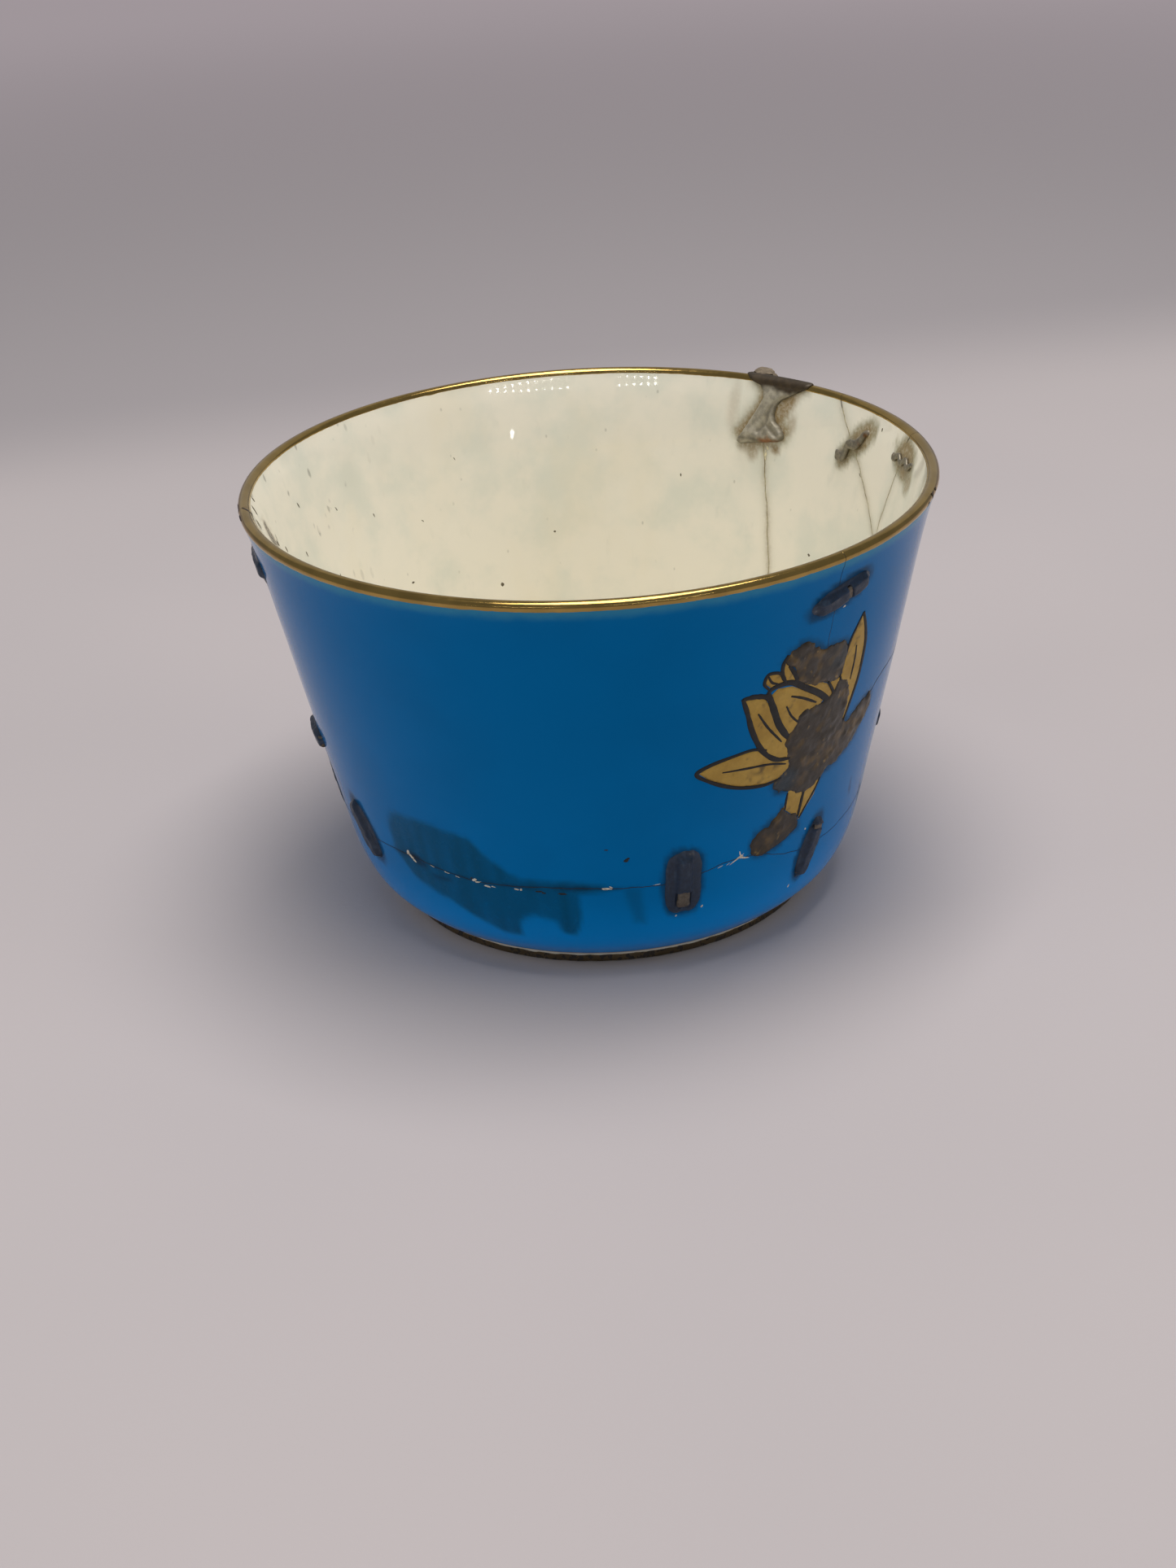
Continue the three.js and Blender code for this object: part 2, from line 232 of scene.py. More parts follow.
def bell(x, width):
    """1 at 0, falling to nothing beyond about two widths."""
    return np.exp(-((x / width) ** 2))


def blend(first, second, share):
    """The first colour where share is 0 and the second where it is 1."""
    return np.asarray(first) * (1 - share) + np.asarray(second) * share


# ---------------------------------------------------------------- the cup's surface

outer_points = spline(OUTER_CURVE)


def outer_radius(z):
    return np.interp(z, outer_points[:, 1], outer_points[:, 0])


def inner_radius(z):
    share = np.clip((np.asarray(z, float) - TURN_Z) / (HEIGHT - TURN_Z), 0, 1)
    return outer_radius(z) - (WALL_LOW + (LIP_WIDTH - WALL_LOW) * share)


def on_cup(bearing, z, lift=0.0, inside=False):
    """Points over the outer or inner face, in mm."""
    radius = inner_radius if inside else outer_radius
    step = 0.3
    slope = (radius(np.add(z, step)) - radius(np.subtract(z, step))) / (2 * step)
    size = np.sqrt(1 + slope**2)
    side = -1 if inside else 1
    r = radius(z) + lift * side / size
    return polar(r, bearing, z - lift * side * slope / size)


def lip_path():
    """The profile from the outside, over the lip and down the inside: r, z and its normal."""
    drop = 14.0
    below = np.arange(drop, 0, -0.25)
    turn = np.linspace(0, math.pi, 19)
    base = HEIGHT - LIP_RISE
    middle = RIM_RADIUS - LIP_WIDTH / 2
    arc = np.column_stack(
        [middle + LIP_WIDTH / 2 * np.cos(turn), base + LIP_RISE * np.sin(turn)]
    )
    outside = np.column_stack([outer_radius(base - below), base - below])
    inside = np.column_stack([inner_radius(base - below[::-1]), base - below[::-1]])
    points = np.vstack([outside, arc, inside])
    steps = np.linalg.norm(np.diff(points, axis=0), axis=1)
    along = np.concatenate([[0], np.cumsum(steps)])
    normal = -quarter_turn(unit(np.gradient(points, along, axis=0)))
    top = along[len(outside) + len(arc) // 2]
    return along - top, points, normal


LIP_ALONG, LIP_POINTS, LIP_NORMALS = lip_path()


def over_lip(bearing, along, lift=0.0):
    """Points over the lip. along is 0 on its top, below 0 outside and above 0 inside, in mm."""
    r, z, out, up = (
        np.interp(along, LIP_ALONG, values) for values in (*LIP_POINTS.T, *LIP_NORMALS.T)
    )
    return polar(r + lift * out, bearing, z + lift * up)


def cup_profile(lift=0.0):
    """The cup's half section from the middle of its underside to its floor, pushed out by lift."""
    foot_inner = FOOT_RADIUS - FOOT_WIDTH
    under = [(r, FOOT_RECESS) for r in np.linspace(0, foot_inner - 1.2, 14)]
    foot = [
        (foot_inner - 0.6, FOOT_RECESS - 0.12),
        (foot_inner - 0.25, FOOT_RECESS - 0.45),
        (foot_inner - 0.1, 1.2),
        (foot_inner, 0.4),
        (foot_inner + 0.12, 0.12),
        (foot_inner + 0.4, 0),
        (FOOT_RADIUS - 0.45, 0),
        (FOOT_RADIUS - 0.12, 0.12),
        (FOOT_RADIUS, 0.45),
        (FOOT_RADIUS + 0.05, FOOT_HEIGHT - 0.25),
        (FOOT_RADIUS + 0.15, FOOT_HEIGHT - 0.05),
    ]
    low = outer_points[(outer_points[:, 1] > FOOT_HEIGHT) & (outer_points[:, 1] < 8)]
    heights = np.arange(8.2, HEIGHT - LIP_RISE - 0.2, ROW_STEP)
    outside = np.column_stack([outer_radius(heights), heights])
    lip = [over_lip(0, s)[[0, 2]] for s in np.linspace(-1.05, 1.05, 15)]
    down = np.arange(HEIGHT - LIP_RISE - 0.3, 14, -ROW_STEP)
    inside = np.column_stack([inner_radius(down), down])
    turn = [(31.0, 12.6), (30.3, 10.8), (29.0, 8.3), (26.6, 6.3), (23.0, 5.2), (18.0, FLOOR_TOP)]
    bowl = spline([tuple(inside[-1])] + turn, 8)[1:]
    floor = [(r, FLOOR_TOP) for r in np.linspace(17, 0, 16)]
    profile = np.vstack([under, foot, low, outside, lip, inside, bowl, floor])
    if not lift:
        return profile
    return profile - lift * quarter_turn(unit(np.gradient(profile, axis=0)))


# ---------------------------------------------------------------- meshes


def new_object(name, verts, faces, smooth_faces=True):
    """A mesh object from points in mm."""
    mesh = bpy.data.meshes.new(name)
    mesh.from_pydata((np.asarray(verts, float) * MM).tolist(), [], faces)
    mesh.validate()
    mesh.polygons.foreach_set("use_smooth", [smooth_faces] * len(mesh.polygons))
    obj = bpy.data.objects.new(name, mesh)
    bpy.context.scene.collection.objects.link(obj)
    return obj


def smooth_but_for_edges(obj, degrees):
    """Smooth shading, with edges sharper than some degrees kept sharp."""
    obj.data.polygons.foreach_set("use_smooth", [True] * len(obj.data.polygons))
    obj.data.set_sharp_from_angle(angle=math.radians(degrees))


def finish_piece(obj, material, replaced=()):
    """Gives a piece its material and its body, and hides the CAD nodes it stands for."""
    if material:
        obj.data.materials.clear()
        obj.data.materials.append(material)
    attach(obj, "root")
    if replaced:
        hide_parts(*replaced)
    return obj


def paint(obj, colours):
    """Stores a colour for each vertex, or one for all. Its opacity is 1 unless it is given."""
    colours = np.asarray(colours, float)
    colours = colours.reshape(-1, colours.shape[-1])
    if colours.shape[1] == 3:
        colours = np.column_stack([colours, np.ones(len(colours))])
    colours = np.broadcast_to(colours, (len(obj.data.vertices), 4))
    layer = obj.data.color_attributes.new("paint", "FLOAT_COLOR", "POINT")
    layer.data.foreach_set("color", colours.astype(np.float32).ravel())


def points_of(obj):
    """A mesh's points in mm."""
    co = np.zeros(len(obj.data.vertices) * 3)
    obj.data.vertices.foreach_get("co", co)
    return co.reshape(-1, 3) / MM


def skin_faces(rings, spokes):
    """The faces of a closed skin: its first point, rings of points, then its last point."""
    faces = []
    final = 1 + (rings - 1) * spokes
    for j in range(spokes):
        k = (j + 1) % spokes
        faces.append((0, 1 + j, 1 + k))
        for low in range(1, final, spokes):
            up = low + spokes
            faces.append((low + j, up + j, up + k, low + k))
        faces.append((final + j, final + spokes, final + k))
    return faces


def turned(name, profile, columns):
    """A closed solid of revolution. The profile starts and ends on the axis."""
    bearing = np.linspace(0, 360, columns, endpoint=False)
    rings = polar(profile[1:-1, :1], bearing, profile[1:-1, 1:])
    bottom, top = (0, 0, profile[0, 1]), (0, 0, profile[-1, 1])
    verts = np.vstack([[bottom], rings.reshape(-1, 3), [top]])
    faces = [face[::-1] for face in skin_faces(len(rings), columns)]
    return new_object(name, verts, faces)


def shell(outer_grid, inner_grid, wrap=False):
    """The points and faces of a closed shell between two grids, joined along its edges."""
    rows, columns = outer_grid.shape[:2]
    verts = np.vstack([outer_grid.reshape(-1, 3), inner_grid.reshape(-1, 3)])
    shift = rows * columns
    faces = []
    last = columns if wrap else columns - 1
    for i in range(rows - 1):
        for j in range(last):
            k = (j + 1) % columns
            low, up = i * columns, (i + 1) * columns
            a, b, c, d = low + j, low + k, up + k, up + j
            faces.append((a, b, c, d))
            faces.append((shift + d, shift + c, shift + b, shift + a))
    for j in range(last):
        k = (j + 1) % columns
        end = (rows - 1) * columns
        faces.append((k, j, shift + j, shift + k))
        faces.append((end + j, end + k, shift + end + k, shift + end + j))
    if not wrap:
        for i in range(rows - 1):
            a, d = i * columns, (i + 1) * columns
            faces.append((a, d, shift + d, shift + a))
            b, c = a + columns - 1, d + columns - 1
            faces.append((c, b, shift + b, shift + c))
    return verts, faces


def join(parts):
    """Several (points, faces) as one."""
    verts, faces, count = [], [], 0
    for v, f in parts:
        verts.append(v)
        faces += [tuple(count + i for i in face) for face in f]
        count += len(v)
    return np.vstack(verts), faces


def combine(obj, tools, operation):
    """Applies one boolean operation to obj with each tool."""
    for tool in tools:
        modifier = obj.modifiers.new(tool.name, "BOOLEAN")
        modifier.operation = operation
        modifier.solver = "MANIFOLD"
        modifier.object = tool
    depsgraph = bpy.context.evaluated_depsgraph_get()
    mesh = bpy.data.meshes.new_from_object(obj.evaluated_get(depsgraph))
    obj.modifiers.clear()
    old = obj.data
    obj.data = mesh
    bpy.data.meshes.remove(old)


def cut(obj, tools):
    """Cuts the tools out of obj, then deletes them."""
    combine(obj, tools, "DIFFERENCE")
    for tool in tools:
        bpy.data.objects.remove(tool)


def loose_parts(obj):
    """Splits an object into one object per connected part."""
    for other in bpy.context.selected_objects:
        other.select_set(False)
    obj.select_set(True)
    bpy.context.view_layer.objects.active = obj
    before = set(bpy.data.objects)
    bpy.ops.object.mode_set(mode="EDIT")
    bpy.ops.mesh.select_all(action="SELECT")
    bpy.ops.mesh.separate(type="LOOSE")
    bpy.ops.object.mode_set(mode="OBJECT")
    return [obj] + [o for o in bpy.data.objects if o not in before]


# ---------------------------------------------------------------- breaks

# Each break runs through a few [bearing, z] points. The base break closes on itself.
BREAKS = {
    "base": [
        (-180, 15.2), (-151, 14.7), (-134, 15.0), (-117, 14.1), (-100, 14.5), (-78, 14.2),
        (-62, 15.6), (-44, 12.8), (-15, 13.6), (15, 14.9), (45, 14.2), (80, 15.0),
        (115, 13.8), (150, 14.9),
    ],
    "left": [(-170, 56), (-171, 48), (-174, 38), (-168, 25), (-166, 19), (-164, 14.4)],
    "lotus": [
        (-49.3, 56), (-48.8, 50), (-48.9, 40), (-48.8, 30.7), (-48.7, 22), (-54, 19.6),
        (-58, 16.8), (-62, 15.2),
    ],
    "branch": [
        (-49, 30.2), (-38.5, 28.4), (-31.5, 30.7), (-25.4, 32.6), (-15, 32.8), (0, 35.2),
        (14, 40),
    ],
    "wedge_right": [(9, 56), (11, 52.2), (11.2, 48.9), (12.6, 45), (13.4, 42.4), (13.6, 39.4)],
    "wedge_left": [
        (36.6, 56), (33.4, 52.4), (30.9, 50.6), (25.6, 47), (21.3, 44.2), (16.8, 41.1),
        (13, 39.2),
    ],
    "right_side": [(-2, 35.4), (-4, 28), (-1.5, 22), (-3, 13.4)],
    "rear": [(54, 56), (52, 46.7), (51, 43), (48.8, 36), (46.9, 29.7), (44.6, 21), (43, 13.8)],
}
CUT_INNER = 27.0
CUT_OUTER = 46.0
BREAK_JITTER = 0.07
ARC = math.radians(RIM_RADIUS)  # mm along the rim for one degree


def break_line(name):
    """A break as [mm along the rim, z], with the small steps that a break has."""
    points = [(b * ARC, z) for b, z in BREAKS[name]]
    closed = name == "base"
    if closed:
        points.append((points[0][0] + 360 * ARC, points[0][1]))
    line = resample(spline(points, 20), CRACK_STEP)
    along = np.arange(len(line)) * CRACK_STEP
    across = quarter_turn(unit(np.gradient(line, axis=0)))
    step = np.sin(0.9 * along) + 0.6 * np.sin(2.3 * along + 1) + 0.3 * np.sin(6.1 * along + 2)
    step *= BREAK_JITTER
    if closed:
        step *= np.sin(math.pi * along / along[-1])
    return line + across * step[:, None], across


def curtain(name, width):
    """A thin radial sheet along a break, right through the wall."""
    line, across = break_line(name)
    closed = name == "base"
    if closed:
        line, across = line[:-1], across[:-1]
    count = len(line)
    rows = []
    for side, radius in ((1, CUT_OUTER), (-1, CUT_OUTER), (-1, CUT_INNER), (1, CUT_INNER)):
        p = line + across * side * width / 2
        rows.append(polar(radius, p[:, 0] / ARC, p[:, 1]))
    verts = np.stack(rows, axis=1).reshape(-1, 3)
    faces = []
    for i in range(count if closed else count - 1):
        n = (i + 1) % count
        for j in range(4):
            k = (j + 1) % 4
            a, b, c, d = i * 4 + j, i * 4 + k, n * 4 + k, n * 4 + j
            # The diagonals of facing sides run alike, so a twisted sheet keeps its width.
            faces += [(a, b, c), (a, c, d)] if j < 2 else [(a, b, d), (b, c, d)]
    if not closed:
        end = (count - 1) * 4
        faces += [(0, 2, 1), (0, 3, 2), (end, end + 1, end + 2), (end, end + 2, end + 3)]
    return new_object("break_" + name, verts, faces, False)


def place_of(points):
    """Bearing, z and whether each point is on the inner face or the lip's inner half."""
    x, y, z = points.T
    r = np.hypot(x, y)
    bearing = np.degrees(np.arctan2(y, x))
    middle = (outer_radius(z) + inner_radius(z)) / 2
    inside = np.where(z > TURN_Z, r < middle, z > FLOOR_TOP - 0.3) & (z > FLOOR_TOP - 0.3)
    inside &= ~((z < TURN_Z) & (r > outer_radius(z) - 0.6))
    return bearing, z, inside


def local_mm(bearing, z, at_bearing, at_z, turn=0.0):
    """Offsets in mm from a place on the cup, turned by some degrees."""
    gap = (np.asarray(bearing) - at_bearing + 180) % 360 - 180
    u = gap * math.radians(float(outer_radius(at_z)))
    return rotated(u, np.asarray(z) - at_z, turn)


# ---------------------------------------------------------------- staples, from the frame

OUTER_STAPLES = [
    "front_low", "right_low", "right_rim", "left_rim", "left_mid", "left_low",
    "left_break", "right_side", "rear_crack", "rear_low_right", "rear_low_middle",
    "rear_low_left",
]
INNER_STAPLES = ["inner_left", "inner_right"]


def staple_place(name):
    """The bearing and height of a staple's middle, and how far its bar is turned from level."""
    low, high = box_mm("staple_" + name)
    x, y, z = (low + high) / 2
    bearing = math.degrees(math.atan2(y, x))
    corner_x, corner_y, corner_z = points_of(frame["nodes"]["staple_" + name]).T
    u, v = local_mm(np.degrees(np.arctan2(corner_y, corner_x)), corner_z, bearing, z)
    axes = np.linalg.svd(np.column_stack([u - u.mean(), v - v.mean()]))[2]
    return bearing, z, math.degrees(math.atan2(axes[0][1], axes[0][0])) % 180


PLACES = {name: staple_place(name) for name in OUTER_STAPLES + INNER_STAPLES}
CLAMP_BEARING = 51.5
CLAMP_ARC = 0.71  # mm across the clamp for one degree

# The clamp's inner leg, as [mm to the left of its middle as seen from the cup's axis, z]. It is
# pinched to a waist and spreads at both ends.
CLAMP_OUTLINE = [
    (-5.6, 55.0), (-5.4, 54.1), (-3.3, 53.1), (-1.9, 52.3), (-1.1, 51.2), (-1.0, 50.3),
    (-1.9, 49.2), (-3.1, 48.2), (-3.0, 47.3), (-0.8, 47.1), (2.2, 46.8), (3.6, 46.2),
    (4.6, 47.2), (3.4, 48.4), (2.3, 50.0), (1.5, 51.5), (1.3, 53.0), (2.8, 54.3), (3.4, 55.0),
]
# Brown stains round the clamp: mm left of its middle, z, half sizes, turn, opacity.
CLAMP_STAINS = [
    (5.6, 50.8, 1.0, 3.6, 4, 0.24), (-2.7, 51.2, 1.25, 2.7, 31, 0.85),
    (-4.0, 49.2, 0.9, 1.8, 10, 0.5), (-1.9, 45.6, 0.75, 0.8, 0, 0.9),
    (1.9, 44.9, 1.1, 1.4, 10, 0.6), (3.2, 45.4, 1.6, 0.9, 0, 0.45), (0.4, 46.0, 2.6, 0.9, 0, 0.5),
]


# ---------------------------------------------------------------- paint and stains on the glaze


class Paint:
    """Layers of colour and opacity on a set of points."""

    def __init__(self, points):
        self.rgba = np.zeros((len(points), 4))
        self.bearing, self.z, self.inside = place_of(points)

    def over(self, colour, opacity, inside):
        """Lays a colour over what is there, on one side of the wall only."""
        a = np.clip(opacity, 0, 1) * (self.inside == inside)
        old = self.rgba[:, 3]
        total = a + old * (1 - a)
        share = np.divide(a, total, out=np.zeros_like(a), where=total > 0)[:, None]
        self.rgba[:, :3] = blend(self.rgba[:, :3], colour, share)
        self.rgba[:, 3] = total


def to_linear(c):
    return c / 12.92 if c <= 0.04045 else ((c + 0.055) / 1.055) ** 2.4


def srgb(*values):
    """A linear colour from 8-bit display values."""
    return tuple(to_linear(c / 255) for c in values)


TEAL = srgb(8, 74, 104)
NIGHT_BLUE = srgb(22, 44, 66)
OVERPAINT_HALO = srgb(24, 46, 62)
STAIN_BROWN = srgb(138, 114, 72)
STAIN_OLIVE = srgb(150, 146, 118)
RUST = srgb(116, 80, 46)
CHIPPED_WHITE = srgb(222, 212, 192)
DAMAGE_BROWN = srgb(70, 54, 42)

# A brown scar with a pale chipped edge, inside at the left, as mm past bearing 180 and z.
DAMAGE = [(1.5, 49.9), (1.1, 48.7), (0.3, 47.5), (-0.4, 46.2)]
DAMAGE_ARC = 0.69  # mm for one degree there

# The retouched patch round the base break, as [bearing, z].
PATCH = [
    (-139.3, 15.1), (-138.6, 19.0), (-136.5, 21.3), (-127.6, 21.4), (-117.5, 20.6),
    (-113.9, 17.9), (-107.7, 15.4), (-97.7, 15.6), (-92.0, 15.0), (-87.6, 14.2), (-95.8, 13.4),
    (-96.2, 8.0), (-97.6, 6.8), (-100.0, 7.2), (-101.4, 9.2), (-106.0, 9.9), (-109.0, 8.6),
    (-109.6, 6.3), (-113.5, 6.2), (-124.5, 9.5), (-134.8, 11.8),
]
PATCH_STRIP = [(-87.3, 14.1), (-83.5, 13.9), (-82.6, 8.3), (-85.0, 8.6)]
PATCH_ARC = math.radians(34)  # mm for one degree there

# Dark retouching away from the staples: bearing, z, turn, half length, half width, opacity.
TOUCHES = [
    (-132.5, 14.9, 150, 1.8, 0.9, 0.75), (-17.5, 12.8, 120, 3.0, 0.8, 0.6),
    (-29.0, 17.4, 100, 1.4, 0.35, 0.5), (-126.0, 13.2, 10, 2.0, 0.5, 0.5),
]

# How dirty each break is inside.
BREAK_STAINS = {
    "rear": 1.0, "wedge_left": 0.75, "wedge_right": 0.6, "right_side": 0.5, "branch": 0.6,
    "lotus": 0.5, "left": 0.55, "base": 0.35,
}

# Stains round the inner staples: staple, half length, half width, shift in degrees and mm, opacity.
STAPLE_STAINS = [
    ("inner_left", 4.1, 1.9, (1.3, 0.8), 0.85), ("inner_left", 2.2, 1.6, (-2.6, -2.0), 0.7),
    ("inner_right", 4.4, 2.7, (0.8, 0.3), 0.95), ("inner_right", 1.6, 1.6, (5.4, -1.6), 0.6),
]


def outside_paint(layers):
    """Retouching on the blue side: the patch, and dark paint round what has been mended."""
    b, z = layers.bearing, layers.z
    wobble = rough(b, z, 11, 2.0) * 0.25
    streaks = 1 - 0.16 * noise(b, z * 0.2, 5, 1.6)
    for outline, opacity in ((PATCH, 0.72), (PATCH_STRIP, 0.4)):
        area = [(x * PATCH_ARC, y) for x, y in outline]
        edge = edge_distance(b * PATCH_ARC, z, area) + wobble
        layers.over(TEAL, smooth(-0.5, 0.6, edge) * opacity * streaks, False)
    for name in OUTER_STAPLES:
        u, v = local_mm(b, z, *PLACES[name])
        half_length, half_width, power, _, halo, _ = FILLERS[name]
        far = np.abs(u / (half_length + halo)) ** power + np.abs(v / (half_width + halo)) ** power
        d = far ** (1 / power) + rough(b, z, 17, 1.3) * 0.1
        layers.over(NIGHT_BLUE, smooth(1.16, 0.9, d) * 0.75, False)
    along_break = smooth(0.55, 0.1, break_distance("base", b, z))
    along_break *= smooth(-142, -136, b) * smooth(-80, -92, b)
    layers.over(NIGHT_BLUE, along_break * (0.35 + 0.35 * noise(b, z, 29, 2.5)), False)
    u, v = (b - FLOWER_BEARING) * FLOWER_ARC, z - FLOWER_Z
    for outline in OVERPAINT.values():
        edge = edge_distance(u, v, outline) + 0.35 * rough(b, z, 19, 1.2)
        layers.over(OVERPAINT_HALO, smooth(-0.95, 0.1, edge) * 0.7, False)
    for x, y, turn, half_length, half_width, opacity in TOUCHES:
        u, v = local_mm(b, z, x, y, turn)
        d = np.hypot(u / half_length, v / half_width) + rough(b, z, 23, 1.0) * 0.2
        layers.over(NIGHT_BLUE, smooth(1.2, 0.6, d) * opacity, False)


def break_distance(name, bearing, z):
    line, _ = break_line(name)
    return line_distance(np.asarray(bearing) * ARC, z, line[::4])


def inside_paint(layers):
    """Stains on the cream side: along the breaks, round the clamp and round the staples."""
    b, z = layers.bearing, layers.z
    grain = 0.75 + 0.35 * rough(b * 0.7, z, 31, 1.6)
    for name, strength in BREAK_STAINS.items():
        d = break_distance(name, b, z)
        layers.over(STAIN_OLIVE, bell(d, 1.0) * 0.28 * strength * grain, True)
        layers.over(STAIN_BROWN, bell(d, 0.45) * 0.42 * strength * grain, True)
    x = (b - CLAMP_BEARING) * CLAMP_ARC
    edge = edge_distance(x, z, CLAMP_OUTLINE)
    blotch = rough(b, z, 37, 2.2)
    layers.over(STAIN_OLIVE, smooth(-1.9 - 0.9 * blotch, 0.1, edge) * 0.75, True)
    layers.over(STAIN_BROWN, smooth(-1.0 - 0.6 * blotch, 0.1, edge) * 0.8, True)
    for left, height, half_width, half_height, turn, opacity in CLAMP_STAINS:
        u, v = rotated(x - left, z - height, turn)
        d = np.hypot(u / half_width, v / half_height) + 0.22 * blotch
        layers.over(STAIN_BROWN, smooth(1.25, 0.45, d) * opacity, True)
    x = ((b + 360) % 360 - 180) * DAMAGE_ARC
    d = line_distance(x, z, DAMAGE) + 0.12 * rough(x, z, 43, 0.7)
    layers.over(CHIPPED_WHITE, smooth(1.5, 1.1, d) * 0.6, True)
    layers.over(DAMAGE_BROWN, smooth(0.95, 0.5, d) * 0.9, True)
    for name, half_length, half_width, (degrees, up), opacity in STAPLE_STAINS:
        bearing, middle_z, turn = PLACES[name]
        u, v = local_mm(b, z, bearing - degrees, middle_z + up, turn)
        d = np.hypot(u / half_length, v / half_width) + 0.2 * rough(b, z, 41, 1.5)
        layers.over(STAIN_OLIVE, smooth(1.25, 0.75, d) * opacity, True)
        layers.over(STAIN_BROWN, smooth(1.02, 0.5, d) * opacity * 0.85, True)


# ---------------------------------------------------------------- materials


class Nodes:
    """A short way to write a node material."""

    def __init__(self, name):
        self.material = bpy.data.materials.new(name)
        self.material.use_nodes = True
        self.tree = self.material.node_tree
        self.tree.nodes.clear()
        self.out = self.add("ShaderNodeOutputMaterial")
        self.bsdf = self.add("ShaderNodeBsdfPrincipled")
        self.link(self.bsdf, "BSDF", self.out, "Surface")
        self.place = self.add("ShaderNodeNewGeometry")

    def add(self, kind, **values):
        node = self.tree.nodes.new(kind)
        for key, value in values.items():
            setattr(node, key, value)
        return node

    def link(self, source, output, target, entry):
        self.tree.links.new(source.outputs[output], target.inputs[entry])

    def set(self, **values):
        for key, value in values.items():
            entry = self.bsdf.inputs[key.replace("_", " ")]
            if isinstance(value, tuple) and len(value) == 3:
                value = (*value, 1.0)
            if isinstance(value, (int, float, tuple)):
                entry.default_value = value
            else:
                self.tree.links.new(value, entry)

    def position(self, scale=(1.0, 1.0, 1.0)):
        node = self.add("ShaderNodeVectorMath", operation="MULTIPLY")
        self.link(self.place, "Position", node, 0)
        node.inputs[1].default_value = scale
        return node.outputs[0]

    def noise(self, size_mm, detail=3.0, stretch=(1.0, 1.0, 1.0), roughness=0.55):
        node = self.add("ShaderNodeTexNoise")
        node.inputs["Scale"].default_value = 1 / (size_mm * MM)
        node.inputs["Detail"].default_value = detail
        node.inputs["Roughness"].default_value = roughness
        self.tree.links.new(self.position(stretch), node.inputs["Vector"])
        return node.outputs["Fac"]

    def cells(self, size_mm, stretch=(1.0, 1.0, 1.0)):
        node = self.add("ShaderNodeTexVoronoi")
        node.inputs["Scale"].default_value = 1 / (size_mm * MM)
        self.tree.links.new(self.position(stretch), node.inputs["Vector"])
        return node.outputs["Distance"]

    def ramp(self, value, low, high, out_low=0.0, out_high=1.0):
        node = self.add("ShaderNodeMapRange", interpolation_type="SMOOTHSTEP")
        self.tree.links.new(value, node.inputs["Value"])
        for key, number in (
            ("From Min", low), ("From Max", high), ("To Min", out_low), ("To Max", out_high),
        ):
            node.inputs[key].default_value = number
        return node.outputs["Result"]

    def times(self, a, b):
        return self.math("MULTIPLY", a, b)

    def plus(self, a, b):
        return self.math("ADD", a, b)

    def minus(self, a, b):
        return self.math("SUBTRACT", a, b)

    def math(self, operation, a, b):
        node = self.add("ShaderNodeMath", operation=operation)
        for index, value in enumerate((a, b)):
            if isinstance(value, (int, float)):
                node.inputs[index].default_value = value
            else:
                self.tree.links.new(value, node.inputs[index])
        return node.outputs[0]

    def mix(self, share, a, b):
        node = self.add("ShaderNodeMix", data_type="RGBA")
        for key, value in ((0, share), (6, a), (7, b)):
            if isinstance(value, (int, float)):
                node.inputs[key].default_value = value
            elif isinstance(value, tuple):
                node.inputs[key].default_value = (*value, 1.0)
            else:
                self.tree.links.new(value, node.inputs[key])
        return node.outputs[2]

    def paint(self):
        node = self.add("ShaderNodeAttribute", attribute_name="paint")
        return node.outputs["Color"], node.outputs["Alpha"]

    def axes(self):
        """The X, Y and Z of the shaded point, in metres."""
        split = self.add("ShaderNodeSeparateXYZ")
        self.link(self.place, "Position", split, 0)
        return split.outputs

    def bump(self, value, depth_mm, strength=1.0):
        node = self.add("ShaderNodeBump")
        node.inputs["Strength"].default_value = strength
        node.inputs["Distance"].default_value = depth_mm * MM
        self.tree.links.new(value, node.inputs["Height"])
        self.tree.links.new(node.outputs[0], self.bsdf.inputs["Normal"])


BLUE = (0.0, 0.155, 0.43)
PALE_BLUE = (0.05, 0.27, 0.43)
BLUE_SHINE = (0.05, 0.7, 1.0)
BARE_EDGE = (0.6, 0.6, 0.58)  # where the glaze stops at the foot
CREAM = (0.85, 0.805, 0.68)
CREAM_CLOUD = (0.72, 0.725, 0.62)
CREAM_WARM = (0.82, 0.75, 0.58)
CREAM_SMEAR = (0.58, 0.59, 0.5)
SPECK_BROWN = (0.3, 0.29, 0.23)
SCRATCH_BROWN = (0.17, 0.16, 0.13)
GOLD = (0.47, 0.312, 0.095)
FOOT_GOLD = (0.2, 0.15, 0.085)
WHITE_BODY = (0.72, 0.70, 0.66)


def scaled(colour, by):
    return tuple(c * by for c in colour)


